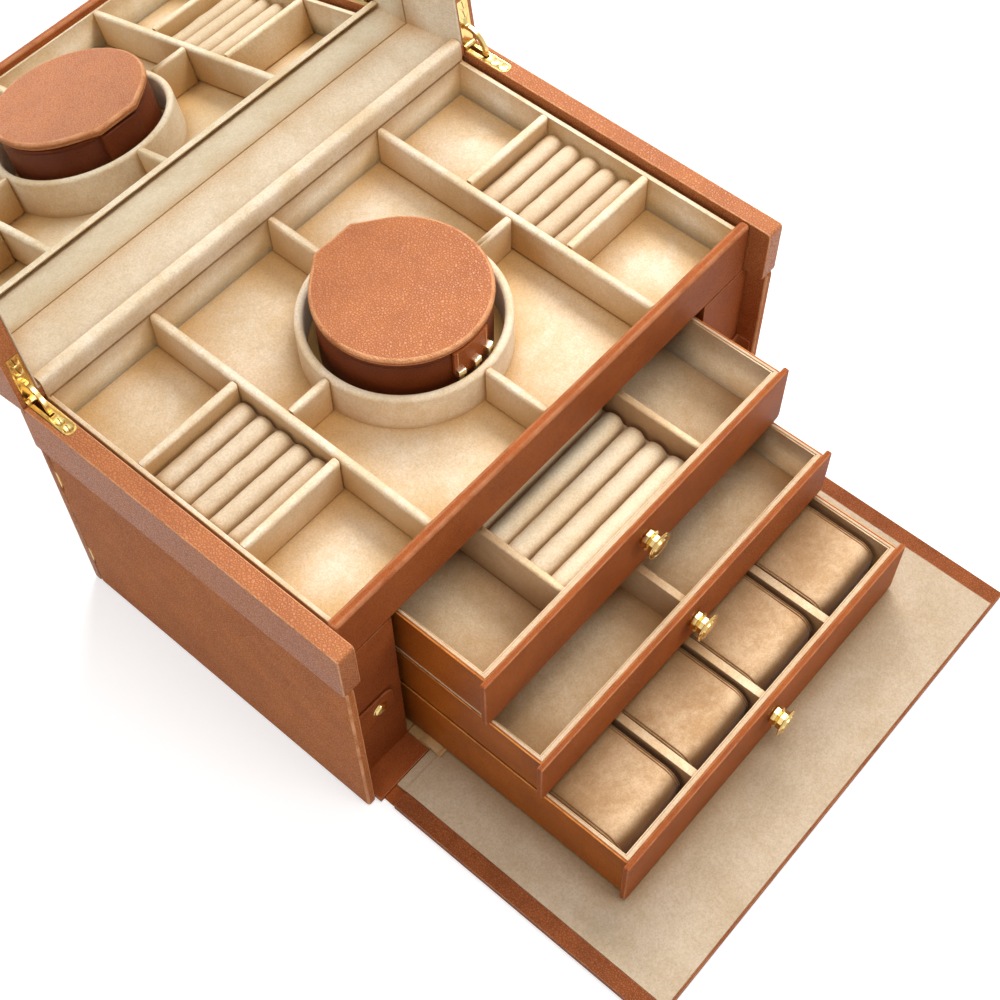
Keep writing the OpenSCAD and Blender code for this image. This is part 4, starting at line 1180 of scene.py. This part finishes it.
def plain_nodes():
    """Metal parts and linings that keep their own solids, and the hinge plates"""
    for node, material in (
        ("necklace_hooks", BRASS), ("door_hinges", BRASS), ("door_pins", BRASS), ("hinge_pins", BRASS),
        ("travel_lining", SUEDE), ("fall_front_lining", FALL_FRONT_SUEDE_PAINTED_DARKER),
    ):
        shaded(NODES[node].data, material, 0)
    piece_from(node_bmesh("lid_arms"), "lid_arms_brass", BRASS, "lid", ["lid_arms"], 30)
    make_plates()


# --- drawers ---

BAND_WIDE = 1.5
WALL = 3.0


def make_front(name):
    """Leather-covered drawer front with its lower corners rounded"""
    node = name + "_front"
    lo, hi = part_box(node)
    outline = rounded_outline(rectangle(lo[0], lo[2], hi[0], hi[2]), [5.0, 5.0, 1.2, 1.2], 6)
    bm = slab(outline, "Y", lo[1], hi[1], 1.3, segments=4)
    weighted_normals(piece_from(bm, node + "_leather", SMOOTH, name + "_drawer", [node], 60))


def make_drawer_trim(name):
    """Pale band on the inner half of the walls' tops, and the skids of the upper drawer"""
    lo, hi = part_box(name + "_box")
    inner = (WALL - BAND_WIDE) * MM
    x0, y0, x1, y1 = lo[0] + inner, lo[1] + inner, hi[0] - inner, hi[1] - inner
    z0, z1 = hi[2] - 1.0 * MM, hi[2] + 0.25 * MM
    wide = BAND_WIDE * MM
    bm = merge(*[rounded_bar((*low, z0), (*high, z1), 0.35) for low, high in (
        ((x0, y0), (x0 + wide, y1)), ((x1 - wide, y0), (x1, y1)),
        ((x0 + wide / 2, y0), (x1 - wide / 2, y0 + wide)), ((x0 + wide / 2, y1 - wide), (x1 - wide / 2, y1)),
    )], rounded_bar((x0, lo[1] + 0.5 * MM, z0), (x1, lo[1] + 1.7 * MM, z1 - 0.05 * MM), 0.3))
    piece_from(bm, name + "_rim_band", PALE_SUEDE, name + "_drawer")
    if name == "upper":
        y0, y1, z0, z1 = lo[1] + MM, hi[1] - 2 * MM, lo[2] + 0.2 * MM, lo[2] + 1.6 * MM
        skids = merge(*[rounded_bar((x - 0.35 * MM, y0, z0), (x + 0.35 * MM, y1, z1), 0.25)
                        for x in (lo[0], hi[0])])
        piece_from(skids, name + "_skids", PALE_SUEDE, name + "_drawer")


def make_knob(name):
    """Turned brass knob: rosette, faceted barrel and a thin ringed disc in front"""
    node = name + "_knob"
    lo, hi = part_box(node)
    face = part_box(name + "_front")[0][1]
    r = (hi[0] - lo[0]) / 2 / MM
    high = (face - lo[1]) / MM
    barrel = lathe([(0, -0.5), (5.0, -0.5), (5.0, 0.8), (6.9, 2.4), (6.9, 5.0), (5.4, 6.0), (6.3, 7.0),
                    (6.3, high - 2.4), (0, high - 2.4)], 10)
    rings = ((r, 2.6), (0.9, 2.6), (0.2, 2.4), (0, 2.0), (0.2, 1.6), (1.3, 1.4), (1.6, 1.1), (2.4, 1.1),
             (2.7, 1.35), (3.6, 1.35), (4.2, 0.5), (r - 2.2, 0.1), (r, 0))
    flange = lathe([(r - inward, high - down) for inward, down in rings], 64)
    screw = lathe([(0, -7.9), (3.1, -7.9), (3.1, -6.8), (1.5, -6.7), (1.5, 0.2), (0, 0.2)], 32)
    knob = facing_front(merge(barrel, flange, screw), ((lo[0] + hi[0]) / 2, face, (lo[2] + hi[2]) / 2))
    piece_from(knob, node + "_turned", BRASS, name + "_drawer", [node], 20)


def dress_drawer(name):
    make_front(name)
    make_drawer_trim(name)
    make_knob(name)
    soften(name + "_box", 0.8, GLAZED, least=8)
    soften(name + "_lining", 0.4, DRAWER_SUEDE_PAINTED_LIT_AND_SHADED, least=8)
    soften(name + ("_divider" if name == "middle" else "_dividers"), 1.8, DRAWER_SUEDE_PAINTED_LIT_AND_SHADED, least=8)


bpy.context.scene.view_settings.view_transform = "Standard"
make_camera()
make_light()
make_floor()
dress_case()
dress_tray()
make_travel_lid()
make_travel_base()
make_travel_tab()
make_claws()
dress_lid()
make_screws("plate_screws", "case")
make_screws("leaf_screws", "lid")
plain_nodes()
for drawer in ("upper", "middle", "lower"):
    dress_drawer(drawer)
roll_bed("ring_roll_bed", solids_of("drawer_rolls")[0], DRAWER_ROLLS, DRAWER_ROLL_SUEDE_PAINTED_LIGHTER, "upper_drawer",
         ["drawer_rolls"])
make_cushions()
